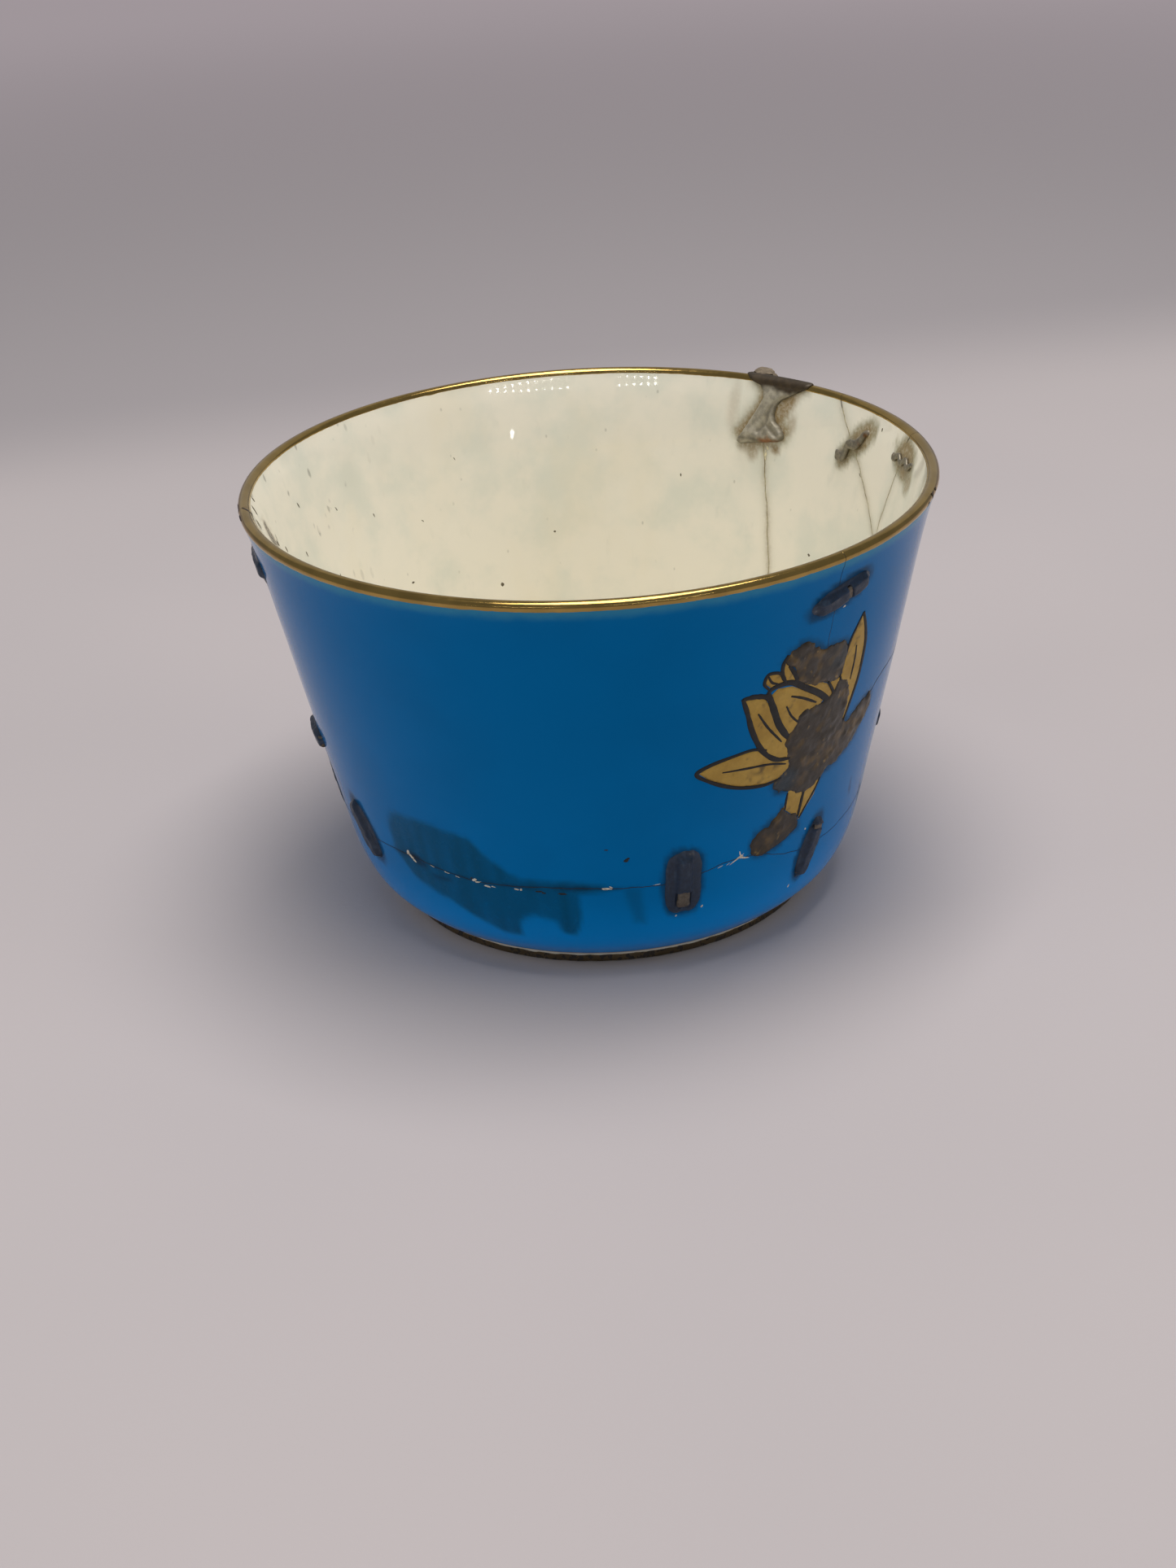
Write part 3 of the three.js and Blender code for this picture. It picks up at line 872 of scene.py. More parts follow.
def blue_glaze():
    """Turquoise blue that thins at the lip and the foot, with painted light that makes it lighter low
    on the wall and lighter still near the foot.
    """
    n = Nodes("blue_glaze")
    z = n.axes()["Z"]
    # Painted light: the full and the thin tone are both lighter low on the wall than high up.
    painted_light_fade = n.ramp(z, 6 * MM, 38 * MM)
    full = n.mix(painted_light_fade, scaled(BLUE, 1.25), BLUE)
    thin = n.mix(painted_light_fade, scaled(BLUE, 1.15), scaled(BLUE, 0.94))
    base = n.mix(n.ramp(n.noise(14, 2), 0.35, 0.7), full, thin)
    # Painted light: the wall is lightened further below 14 mm, towards the foot.
    painted_light_low = n.ramp(z, 14 * MM, 3 * MM)
    base = n.mix(n.times(painted_light_low, 0.8), base, scaled(BLUE, 2.0))
    ragged = n.times(n.minus(n.noise(2.5), 0.5), 0.8 * MM)
    rim = n.ramp(n.plus(z, ragged), (HEIGHT - 2.6) * MM, (HEIGHT - 1.15) * MM)
    base = n.mix(n.times(rim, 0.8), base, PALE_BLUE)
    foot = n.ramp(n.plus(z, n.times(ragged, 0.4)), 2.45 * MM, 2.1 * MM)
    base = n.mix(foot, base, BARE_EDGE)
    colour, opacity = n.paint()
    worn = n.times(opacity, n.ramp(n.noise(0.5, 4), 0.2, 0.5, 0.8, 1.0))
    gloss = n.ramp(n.noise(5, 4), 0.3, 0.7, 0.09, 0.15)
    scuffs = n.ramp(n.noise(1.6, 5, (1, 1, 3)), 0.62, 0.75, 0.0, 0.12)
    n.set(
        Base_Color=n.mix(worn, base, colour),
        Roughness=n.plus(n.plus(gloss, scuffs), n.times(opacity, 0.22)),
        IOR=1.2,
        Specular_Tint=BLUE_SHINE,
    )
    n.bump(n.noise(1.4, 3), 0.006)
    return n.material


def cream_glaze():
    """Cream with faint clouds, smears and specks, scratched at the left and worn on the floor."""
    n = Nodes("cream_glaze")
    x, _, z = n.axes()
    cloud = n.ramp(n.noise(9, 4), 0.4, 0.68)
    base = n.mix(n.times(cloud, 0.85), CREAM, CREAM_CLOUD)
    warm = n.ramp(n.noise(17, 3, (1.3, 1, 0.7)), 0.5, 0.72)
    base = n.mix(n.times(warm, 0.45), base, CREAM_WARM)
    smear = n.ramp(n.noise(2.6, 4, (1, 1, 0.35)), 0.6, 0.78)
    base = n.mix(n.times(smear, 0.22), base, CREAM_SMEAR)
    colour, opacity = n.paint()
    worn = n.times(opacity, n.ramp(n.noise(0.45, 4), 0.25, 0.6, 0.72, 1.05))
    base = n.mix(worn, base, colour)
    specks = n.ramp(n.cells(2.2, (1, 1, 0.6)), 0.1, 0.04)
    in_places = n.ramp(n.noise(6, 2), 0.48, 0.6)
    base = n.mix(n.times(n.times(specks, in_places), 0.4), base, SPECK_BROWN)
    left = n.ramp(x, -0.6 * RIM_RADIUS * MM, -0.9 * RIM_RADIUS * MM)
    scratches = n.ramp(n.cells(1.5, (1, 1, 0.3)), 0.24, 0.14)
    in_places = n.ramp(n.noise(3.5, 2), 0.5, 0.58)
    base = n.mix(n.times(n.times(scratches, in_places), n.times(left, 0.55)), base, SCRATCH_BROWN)
    gloss = n.ramp(n.noise(4, 4), 0.3, 0.7, 0.03, 0.05)
    worn_floor = n.times(n.ramp(z, 18 * MM, 7 * MM), 0.4)
    n.set(
        Base_Color=base,
        Roughness=n.plus(gloss, n.plus(n.times(opacity, 0.25), worn_floor)),
        Specular_IOR_Level=n.minus(0.5, worn_floor),
    )
    n.bump(n.noise(3.5, 2), 0.0015)
    return n.material


def bare_porcelain():
    n = Nodes("bare_porcelain")
    base = n.mix(n.noise(0.6, 4), WHITE_BODY, (0.5, 0.46, 0.38))
    n.set(Base_Color=base, Roughness=0.75)
    n.bump(n.noise(0.25, 4), 0.03)
    return n.material


def painted_surface(name, roughness, grain_mm, depth_mm, metallic=0.0, variation=0.35):
    """A finish that takes its colour from the painted points, with grain and streaks on top."""
    n = Nodes(name)
    colour, _ = n.paint()
    dark = n.add("ShaderNodeHueSaturation")
    dark.inputs["Value"].default_value = 1 - variation
    n.tree.links.new(colour, dark.inputs["Color"])
    base = n.mix(n.ramp(n.noise(grain_mm * 1.6, 5), 0.35, 0.65), colour, dark.outputs[0])
    n.set(
        Base_Color=base,
        Roughness=n.ramp(n.noise(grain_mm * 2, 4), 0.3, 0.7, *roughness),
        Metallic=metallic,
    )
    n.bump(n.noise(grain_mm, 4), depth_mm)
    return n.material


def gilding(name, gold, roughness, wear, wear_colour):
    """Gold that has worn to spots of another colour. A lower wear means more spots."""
    n = Nodes(name)
    tone = n.mix(n.ramp(n.noise(5, 3), 0.35, 0.65), gold, scaled(gold, 0.8))
    spots = n.ramp(n.noise(0.8, 4), wear, wear + 0.05)
    base = n.mix(spots, tone, wear_colour)
    n.set(
        Base_Color=base,
        Metallic=n.minus(1.0, n.times(spots, 0.8)),
        Roughness=n.plus(n.ramp(n.noise(0.9, 4), 0.3, 0.7, *roughness), n.times(spots, 0.3)),
    )
    n.bump(n.noise(1.1, 2), 0.004)
    return n.material


# ---------------------------------------------------------------- sherds and breaks


def face_kinds(obj):
    """0 for the blue glaze, 1 for the cream glaze and 2 for a broken edge, for each face."""
    centres = np.zeros(len(obj.data.polygons) * 3)
    obj.data.polygons.foreach_get("center", centres)
    x, y, z = centres.reshape(-1, 3).T / MM
    r = np.hypot(x, y)
    blue = (z > FOOT_HEIGHT + 0.02) & (r > outer_radius(z) - 0.04)
    middle = RIM_RADIUS - LIP_WIDTH / 2
    blue |= (z > HEIGHT - LIP_RISE) & (r > middle)
    deep = (r < outer_radius(z) - 0.06) & (r > inner_radius(z) + 0.06)
    broken = deep & (z > TURN_Z - 0.5) & (z < HEIGHT - 0.05)
    return np.where(blue, 0, np.where(broken, 2, 1))


def box_gap(obj, node):
    low, high = box_mm(node)
    points = points_of(obj)
    return np.abs(points.min(0) - low).sum() + np.abs(points.max(0) - high).sum()


def build_sherds(materials):
    cup = turned("cup", cup_profile(), CUP_COLUMNS)
    cut(cup, [curtain(name, CRACK_WIDTH) for name in BREAKS])
    parts = loose_parts(cup)
    for node in SHERDS:
        sherd = min(parts, key=lambda part: box_gap(part, node))
        parts.remove(sherd)
        sherd.name = "glazed_" + node
        sherd.data.materials.clear()
        for material in materials:
            sherd.data.materials.append(material)
        sherd.data.polygons.foreach_set("material_index", face_kinds(sherd).astype(np.int32))
        smooth_but_for_edges(sherd, 32)
        layers = Paint(points_of(sherd))
        outside_paint(layers)
        inside_paint(layers)
        paint(sherd, layers.rgba)
        finish_piece(sherd, None, [node])
    for crumb in parts:
        bpy.data.objects.remove(crumb)


SEAM_BLUE = srgb(4, 58, 96)
SEAM_OUTSIDE = {
    "base": srgb(16, 36, 48), "branch": srgb(24, 36, 44), "left": srgb(34, 36, 40),
    "lotus": srgb(6, 54, 88),
}
SEAM_INSIDE = srgb(190, 180, 146), srgb(156, 143, 106)  # clean and dirty
SEAM_ON_LIP = srgb(52, 40, 26)
SEAM_WIDTHS = {
    "base": 0.1, "left": 0.16, "branch": 0.14, "rear": 0.17, "wedge_left": 0.13,
    "wedge_right": 0.14,
}
SEAM_FREE = 0.006  # how much narrower than its crack a seam is otherwise
SEAM_PROUD = 0.012


def seam_colours(name, points):
    bearing, z, inside = place_of(points)
    grain = rough(bearing, z, 53, 1.5)[:, None]
    outer = np.broadcast_to(SEAM_OUTSIDE.get(name, SEAM_BLUE), points.shape)
    if name == "base":
        faint = smooth(-62, -56, bearing) + smooth(-140, -150, bearing)
        outer = blend(outer, SEAM_BLUE, faint[:, None])
    inner = blend(*SEAM_INSIDE, smooth(-0.2, 0.6, grain))
    colours = np.where(inside[:, None], inner, outer * (0.85 + 0.3 * grain))
    colours[z > HEIGHT - 1.3] = SEAM_ON_LIP
    return colours


def build_seams(material):
    """The cement in each break, flush with the glaze on both sides."""
    cup = turned("grown_cup", cup_profile(SEAM_PROUD), CUP_COLUMNS)
    for name in BREAKS:
        seam = curtain(name, SEAM_WIDTHS.get(name, CRACK_WIDTH - SEAM_FREE))
        combine(seam, [cup], "INTERSECT")
        seam.name = "seam_" + name
        paint(seam, seam_colours(name, points_of(seam)))
        finish_piece(seam, material)
    bpy.data.objects.remove(cup)


# ---------------------------------------------------------------- gilding

GILD_COLUMNS = 720
GILD_REACH = (-1.5, 1.12)  # mm over the lip, outside and inside
RIM_GILD_PROUD = 0.022
FOOT_GILD_PROUD = 0.02
GILD_SUNK = -0.03
UNCUT_RIM = ("base", "branch", "right_side")  # breaks that don't reach the rim


def build_rim_gilding(material):
    bearing = np.linspace(-180, 180, GILD_COLUMNS, endpoint=False)
    outside = GILD_REACH[0] + 0.05 * rough(bearing, 0, 61, 2.0) + 0.03 * noise(bearing, 0, 62, 0.7)
    inside = GILD_REACH[1] + 0.07 * rough(bearing, 0, 63, 3.0) + 0.03 * noise(bearing, 0, 64, 0.8)
    share = np.linspace(0, 1, 17)[:, None]
    along = outside * (1 - share) + inside * share
    edge = (share == 0) | (share == 1)
    top = over_lip(bearing, along, np.where(edge, 0.0, RIM_GILD_PROUD))
    under = over_lip(bearing, along, GILD_SUNK)
    ring = new_object("rim_gilding", *shell(under, top, wrap=True))
    cut(ring, [curtain(name, CRACK_WIDTH) for name in BREAKS if name not in UNCUT_RIM])
    smooth_but_for_edges(ring, 50)
    finish_piece(ring, material)


def build_foot_gilding(material):
    bearing = np.linspace(-180, 180, GILD_COLUMNS, endpoint=False)
    path = resample(
        [
            (FOOT_RADIUS + 0.04, FOOT_HEIGHT - 0.42),
            (FOOT_RADIUS + 0.02, 0.8),
            (FOOT_RADIUS, 0.45),
            (FOOT_RADIUS - 0.04, 0.28),
            (FOOT_RADIUS - 0.12, 0.12),
            (FOOT_RADIUS - 0.3, 0.02),
        ],
        0.12,
    )
    drop = 0.1 * rough(bearing, 0, 71, 3.0) * np.linspace(1, 0, len(path))[:, None]
    top = polar(path[:, :1] + FOOT_GILD_PROUD, bearing, path[:, 1:] + drop)
    under = polar(path[:, :1] - 0.05, bearing, path[:, 1:] + drop)
    band = new_object("foot_gilding", *shell(top, under, wrap=True))
    finish_piece(band, material)


# ---------------------------------------------------------------- staples and fillers


UPRIGHT = 0.98  # height gained for one mm up the leaning wall


def beside(place, a, b, lift, inside=False):
    """Points a mm along a staple and b mm across it, over the glaze."""
    bearing, z, turn = place
    across, up = rotated(a, b, -turn)
    height = z + up * UPRIGHT
    radius = inner_radius if inside else outer_radius
    return on_cup(bearing + np.degrees(across / radius(height)), height, lift, inside)


def mound(place, half_length, half_width, power, height, seed, spokes=120, rings=20):
    """A closed low mound. Returns its points, faces and each point's a, b and share of radius."""
    phi = np.linspace(0, 2 * math.pi, spokes, endpoint=False)
    reach = (np.abs(np.cos(phi)) ** power + np.abs(np.sin(phi)) ** power) ** (-1 / power)
    reach = reach * (1 + 0.07 * rough(3 * np.cos(phi), 3 * np.sin(phi), seed, 1.3))
    share = np.linspace(0, 1, rings + 1)[1:]
    a = np.outer(share, half_length * np.cos(phi) * reach)
    b = np.outer(share, half_width * np.sin(phi) * reach)
    a = np.concatenate([[0], a.ravel(), a[-1], [0]])
    b = np.concatenate([[0], b.ravel(), b[-1], [0]])
    t = np.concatenate([[0], np.repeat(share, spokes), np.ones(spokes), [0]])
    lift = height(a, b, t)
    lift[-1 - spokes:] = FILLER_SUNK
    return beside(place, a, b, lift), skin_faces(rings + 1, spokes), a, b, t


WHOLE = (0.0, 0.0)
# Each filler's half length, half width, roundness, how proud it stands, the width of the dark
# glaze round it, and where its paint has come off the bar, as [from, to] along the bar.
FILLERS = {
    "front_low": (4.7, 2.3, 3.4, 0.9, 0.25, (-3.7, -1.3)),
    "right_low": (4.4, 1.55, 1.9, 0.75, 0.5, (2.9, 3.3)),
    "right_rim": (4.8, 1.5, 2.4, 0.85, 0.5, (0.4, 0.9)),
    "left_rim": (4.0, 2.5, 3.0, 0.62, 0.2, WHOLE),
    "left_mid": (3.9, 1.25, 2.4, 0.78, 0.1, WHOLE),
    "left_low": (4.3, 1.8, 2.4, 0.75, 0.3, WHOLE),
    "left_break": (4.1, 2.1, 2.0, 0.75, 0.6, WHOLE),
    "right_side": (4.2, 1.6, 2.2, 0.45, 0.3, WHOLE),
    "rear_crack": (4.7, 2.0, 3.0, 0.9, 0.4, (1.2, 2.6)),
    "rear_low_right": (4.6, 2.0, 2.6, 0.9, 0.4, WHOLE),
    "rear_low_middle": (4.7, 2.1, 3.4, 0.9, 0.3, (-2.6, -1.0)),
    "rear_low_left": (4.5, 1.9, 2.4, 0.85, 0.4, WHOLE),
}


FILLER_SUNK = -0.1
FILLER_BLUE = srgb(20, 43, 68)
FILLER_SLATE = srgb(50, 70, 92)
FILLER_BARE = srgb(96, 100, 104)


def build_filler(name, material, seed):
    """A pad over the staple, a ridge along its bar, and a hole where the paint has come off."""
    half_length, half_width, power, proud, _, window = FILLERS[name]

    def height(a, b, t):
        grain = rough(a, b, seed, 1.4)
        pad = 0.3 * (1 - t**6) + 0.07 * grain * (1 - t)
        ridge = smooth(1.2, 0.62, np.abs(b) + 0.1 * grain) * smooth(4.1, 3.5, np.abs(a))
        lift = proud * (pad + ridge * (0.66 + 0.08 * noise(a, b, seed + 9, 0.9)))
        if window != WHOLE:
            hole = smooth(window[0] - 0.15, window[0] + 0.1, a + 0.1 * grain)
            hole *= smooth(window[1] + 0.15, window[1] - 0.1, a + 0.1 * grain)
            lift -= hole * smooth(1.05, 0.8, np.abs(b)) * 0.7 * proud
        return np.where(t >= 1, -0.02, lift)

    verts, faces, a, b, t = mound(PLACES[name], half_length, half_width, power, height, seed)
    obj = new_object("painted_filler_" + name, verts, faces)
    streak = smooth(0.15, 0.75, rough(a * 0.5, b * 2.2, seed + 3, 0.8))
    share = np.clip(streak * 0.7 + smooth(0.8, 1.0, t) * 0.25, 0, 1)
    ends = smooth(3.7, 4.3, np.abs(a)) * smooth(0.2, 0.7, rough(a, b, seed + 5, 0.7))
    colours = blend(FILLER_BLUE, FILLER_SLATE, share[:, None])
    paint(obj, blend(colours, FILLER_BARE, ends[:, None]))
    finish_piece(obj, material, ["filler_" + name])


BAR_STEP = 0.14
BAR_SPOKES = 14
BAR_ROUNDING = 0.35  # mm over which the bar's ends close
BAR_SQUARE = 0.65  # 1 for a round section, less for a squarer one


def squared(wave):
    return np.sign(wave) * np.abs(wave) ** BAR_SQUARE


def bar(path, half_widths, half_thick, seed):
    """A hammered bar swept along [a, b, lift] points, as [a, b, lift] points and faces."""
    p = resample(spline(path, 8), BAR_STEP)
    tangent = unit(np.gradient(p, axis=0))
    side = unit(np.column_stack([quarter_turn(tangent), np.zeros(len(p))]))
    up = np.cross(tangent, side)
    along = np.arange(len(p)) * BAR_STEP
    end = np.minimum(along, along[-1] - along)
    grow = np.sqrt(np.clip(end / BAR_ROUNDING, 0.02, 1))[:, None]
    phi = np.linspace(0, 2 * math.pi, BAR_SPOKES, endpoint=False)
    dent = 1 + 0.13 * rough(along[:, None], phi * 0.9, seed, 0.8)
    share = np.linspace(0, 1, len(p))
    half_width = np.interp(share, np.linspace(0, 1, len(half_widths)), half_widths)
    w = half_width[:, None] * grow * dent * squared(np.cos(phi))
    h = half_thick * grow * dent * squared(np.sin(phi))
    rings = p[:, None, :] + side[:, None, :] * w[..., None] + up[:, None, :] * h[..., None]
    points = np.vstack([p[:1], rings.reshape(-1, 3), p[-1:]])
    return points, skin_faces(len(p), BAR_SPOKES)


# The inner staples are bent and hammered by hand: [along, across, lift] points, then half widths
# from end to end and half the thickness.
INNER_BARS = {
    "inner_left": (
        [
            (-3.8, -0.6, -0.4), (-3.6, -0.5, 0.2), (-2.8, 0.3, 0.42), (-1.8, -0.05, 0.3),
            (-0.7, -0.35, 0.5), (0.4, 0.3, 0.5), (1.4, 0.2, 0.2), (2.6, -0.15, 0.12),
            (3.4, 0, -0.4),
        ],
        [0.5, 0.68, 0.6, 0.42, 0.62, 0.66, 0.42, 0.4, 0.3],
        0.3,
    ),
    "inner_right": (
        [
            (-3.8, 0.7, -0.3), (-3.3, 0.6, 0.1), (-2.4, -0.1, 0.25), (-1.2, 0.45, 0.22),
            (0.2, -0.45, 0.26), (1.4, 0.1, 0.22), (2.6, -0.7, 0.25), (3.3, -0.5, 0.1),
            (3.7, -0.4, -0.3),
        ],
        [0.2, 0.42, 0.34, 0.42, 0.34, 0.4, 0.2],
        0.2,
    ),
}
STAPLE_GREY = srgb(118, 110, 98)
INNER_GREY = srgb(150, 143, 126)


def outer_bar(proud):
    """A straight bar with its ends turned down into the porcelain."""
    half = [(0, 0, 0.46 * proud), (2.9, 0, 0.42 * proud), (3.45, 0, 0.1), (3.5, 0, -0.5)]
    path = [(-a, b, lift) for a, b, lift in half[:0:-1]] + half
    return path, [0.78, 0.78], 0.33 * proud


def build_staple(name, material, seed):
    inside = name in INNER_STAPLES
    sizes = INNER_BARS[name] if inside else outer_bar(FILLERS[name][3])
    points, faces = bar(*sizes, seed)
    a, b, lift = points.T
    obj = new_object("metal_staple_" + name, beside(PLACES[name], a, b, lift, inside), faces)
    grain = rough(a, b + lift, seed + 4, 0.9)
    rust = smooth(0.2, 0.8, grain) * 0.4
    if name == "inner_left":
        rust += smooth(0.2, 1.2, a) * 0.9 * smooth(-0.4, 0.5, grain)
    grey = INNER_GREY if inside else STAPLE_GREY
    paint(obj, blend(grey, RUST, np.clip(rust, 0, 1)[:, None]))
    finish_piece(obj, material, ["staple_" + name])


# ---------------------------------------------------------------- rim clamp and putty

# The clamp's edges in mm from its middle, left and right as seen from outside the cup, from the
# end of its outer leg, over the lip, to the end of its inner leg. The first number is the
# distance along the lip's profile.
CLAMP_EDGES = [
    (-7.4, -0.9, 0.8), (-6.7, -2.2, 1.9), (-4.5, -3.6, 2.6), (-2.0, -4.9, 3.4), (0.0, -6.0, 4.3),
    (0.9, -5.6, 3.6), (1.5, -4.4, 1.9), (2.2, -3.3, 1.3), (3.0, -1.9, 1.2), (3.9, -1.2, 1.5),
    (5.0, -1.0, 2.1), (6.0, -1.4, 2.7), (6.8, -2.3, 3.2), (7.5, -2.8, 3.8), (8.1, -3.1, 4.4),
    (8.6, -2.9, 4.5), (9.0, -2.0, 3.9),
]
CLAMP_CREASES = [
    [(-4.9, 1.3), (-2.8, 2.5), (-1.0, 3.6), (-0.2, 5.0), (0.0, 6.4), (1.0, 7.6)],
    [(0.0, 6.6), (-1.3, 7.4), (-2.4, 8.0)],
]
CLAMP_FOLD = [(4.0, 8.2), (2.2, 8.0), (0.4, 8.3), (-1.4, 8.1), (-2.6, 8.3)]


CLAMP_GREY = srgb(172, 165, 146), srgb(136, 128, 106)
CLAMP_BRIDGE = srgb(66, 53, 34)  # the dark strip that lies on the rim
# Dirt and painted shade, for the creases, the edges and the underside of the fold.
CLAMP_DIRT_AND_SHADE = srgb(72, 62, 46)
CLAMP_RUST = srgb(150, 104, 68)


def build_clamp(material):
    """A soft strip folded over the lip, with a and s the mm across it and along the profile."""
    start, left, right = np.array(CLAMP_EDGES).T
    along = np.linspace(start[0], start[-1], 150)[:, None]
    left = np.interp(along, start, left) + 0.16 * rough(along, 0, 81, 1.1)
    right = np.interp(along, start, right) + 0.16 * rough(along, 0, 82, 1.1)
    a = left + (right - left) * np.linspace(0, 1, 72)
    s = along + 0.17 * a * smooth(5.5, 8.5, along)
    edge = np.minimum.reduce(np.broadcast_arrays(a - left, right - a, s - along[0], along[-1] - along))
    edge = np.clip(edge, 0, None)
    crease = np.minimum.reduce([line_distance(a, s, line) for line in CLAMP_CREASES])

    lift = 0.08 + (0.5 - 0.34 * bell(s, 1.9)) * np.sqrt(1 - (1 - np.clip(edge / 0.6, 0, 1)) ** 2)
    lift += 0.1 * rough(a, s, 84, 1.5) * smooth(0, 0.5, edge) * smooth(1.0, 2.6, s)
    lift += 0.3 * bell(line_distance(a, s, CLAMP_FOLD), 0.8) * smooth(0, 0.4, edge)
    lift += 0.08 * bell(crease - 0.7, 0.5) * smooth(0, 0.5, edge)
    lift -= 0.14 * bell(crease, 0.3) * smooth(0, 0.6, edge)
    bearing = CLAMP_BEARING + a / CLAMP_ARC
    top = over_lip(bearing, s, np.maximum(lift, 0.05))
    under = over_lip(bearing, s, 0.03)
    clamp = new_object("lead_rim_clamp", *shell(under, top))

    colours = blend(*CLAMP_GREY, smooth(-0.1, 0.7, rough(a, s, 86, 1.5))[..., None] * 0.7)
    # Dark colour in the creases, along the edges and under the fold: partly dirt, partly painted
    # shade.
    under_fold_shade = bell(s - 8.75, 0.22) * (s > 7)
    dirt_and_shade = 0.4 * bell(crease, 0.3) + smooth(0.25, 0.0, edge) * 0.3 + under_fold_shade * 0.5
    colours = blend(colours, CLAMP_DIRT_AND_SHADE, 0.85 * np.clip(dirt_and_shade, 0, 1)[..., None])
    on_rim = smooth(2.2, 1.4, s + 0.5 * rough(a, s, 87, 1.4))
    colours = blend(colours, CLAMP_BRIDGE, on_rim[..., None])
    rust = smooth(8.0, 8.6, s + 0.3 * rough(a, s, 88, 0.9))
    rust *= smooth(-3.2, -2.4, a) * smooth(1.2, 0.2, a)
    rust += 0.5 * smooth(0.55, 0.95, rough(a, s, 89, 0.8)) * smooth(5, 8, s)
    colours = blend(colours, CLAMP_RUST, np.clip(rust, 0, 1)[..., None])
    paint(clamp, np.stack([colours, colours]))
    finish_piece(clamp, material, ["rim_clamp"])


PUTTY_COLOURS = srgb(132, 118, 98), srgb(88, 74, 58)


def build_putty(material):
    """A rounded lump that fills its CAD box, flattened on top and kept clear of the wall."""
    low, high = box_mm("rim_putty")
    ball = bmesh.new()
    bmesh.ops.create_icosphere(ball, subdivisions=5, radius=1)
    directions = np.array([v.co for v in ball.verts])
    faces = [tuple(v.index for v in f.verts) for f in ball.faces]
    ball.free()
    x, y, z = directions.T
    grow = 1 + 0.13 * rough(np.arctan2(y, x) * 2, z * 3, 91, 1.0) + 0.1 * np.sin(x * 5 + 1)
    rounded = np.sign(directions) * np.abs(directions) ** (1, 1, 0.75)
    points = (low + high) / 2 + rounded * grow[:, None] * (high - low) / 2
    points[:, 2] -= 0.65 * np.clip(points[:, 2] - HEIGHT - 0.05, 0, None)
    r, z = np.hypot(points[:, 0], points[:, 1]), points[:, 2]
    nearest = np.where(z > HEIGHT, RIM_RADIUS - 0.5, outer_radius(z) + 0.6)
    points[:, :2] *= (np.maximum(r, nearest) / r)[:, None]
    putty = new_object("putty_lump", points, faces)
    dark = smooth(-0.3, 0.6, rough(points[:, 0], points[:, 2], 93, 1.4))
    paint(putty, blend(*PUTTY_COLOURS, dark[:, None]))
    finish_piece(putty, material, ["rim_putty"])


# Dark marks where the left break crosses the lip: half width in mm, then points of bearing and
# distance over the lip.
RIM_MARKS = [
    (0.17, [(-170.0, -0.3), (-168.9, 0.2), (-168.3, 0.5), (-168.0, 0.95)]),
    (0.15, [(-174.0, -1.0), (-172.0, -0.85), (-170.0, -0.8)]),
    (0.2, [(-168.4, -1.0), (-165.7, -0.95)]),
    (0.27, [(-168.6, 0.9), (-166.5, 1.05), (-163.0, 1.15), (-159.6, 1.25)]),
]
MARK_ARC = 0.75  # mm along the lip for one degree
MARK_BROWN = srgb(48, 34, 24)


def build_rim_marks(material):
    across = np.linspace(-1, 1, 7)
    parts = []
    for half_width, path in RIM_MARKS:
        line = resample(np.array(path) * (MARK_ARC, 1), 0.2)
        sideways = quarter_turn(unit(np.gradient(line, axis=0)))
        taper = np.sqrt(np.sin(np.linspace(0.04, math.pi - 0.04, len(line)))) * half_width
        taper = taper * (1 + 0.3 * rough(line[:, 0], line[:, 1], 171, 0.6))
        bearing = (line[:, :1] + across * (taper * sideways[:, 0])[:, None]) / MARK_ARC
        along = line[:, 1:] + across * (taper * sideways[:, 1])[:, None]
        top = over_lip(bearing, along, 0.03 + 0.04 * (1 - across**2))
        parts.append(shell(over_lip(bearing, along), top))
    marks = new_object("rim_marks", *join(parts))
    paint(marks, MARK_BROWN)
    finish_piece(marks, material)


# ---------------------------------------------------------------- the water-lily

FLOWER_BEARING = -53.0
FLOWER_Z = 31.0
FLOWER_ARC = 0.663  # mm across for one degree
DECAL_SUNK = -0.04
PETAL_GRID = 0.28
CRUST_GRID = 0.2
EDGE_STEP = 0.7  # step along a decal's edge over the spacing of its grid


def on_flower(u, v, lift):
    return on_cup(FLOWER_BEARING + u / FLOWER_ARC, FLOWER_Z + v, lift)


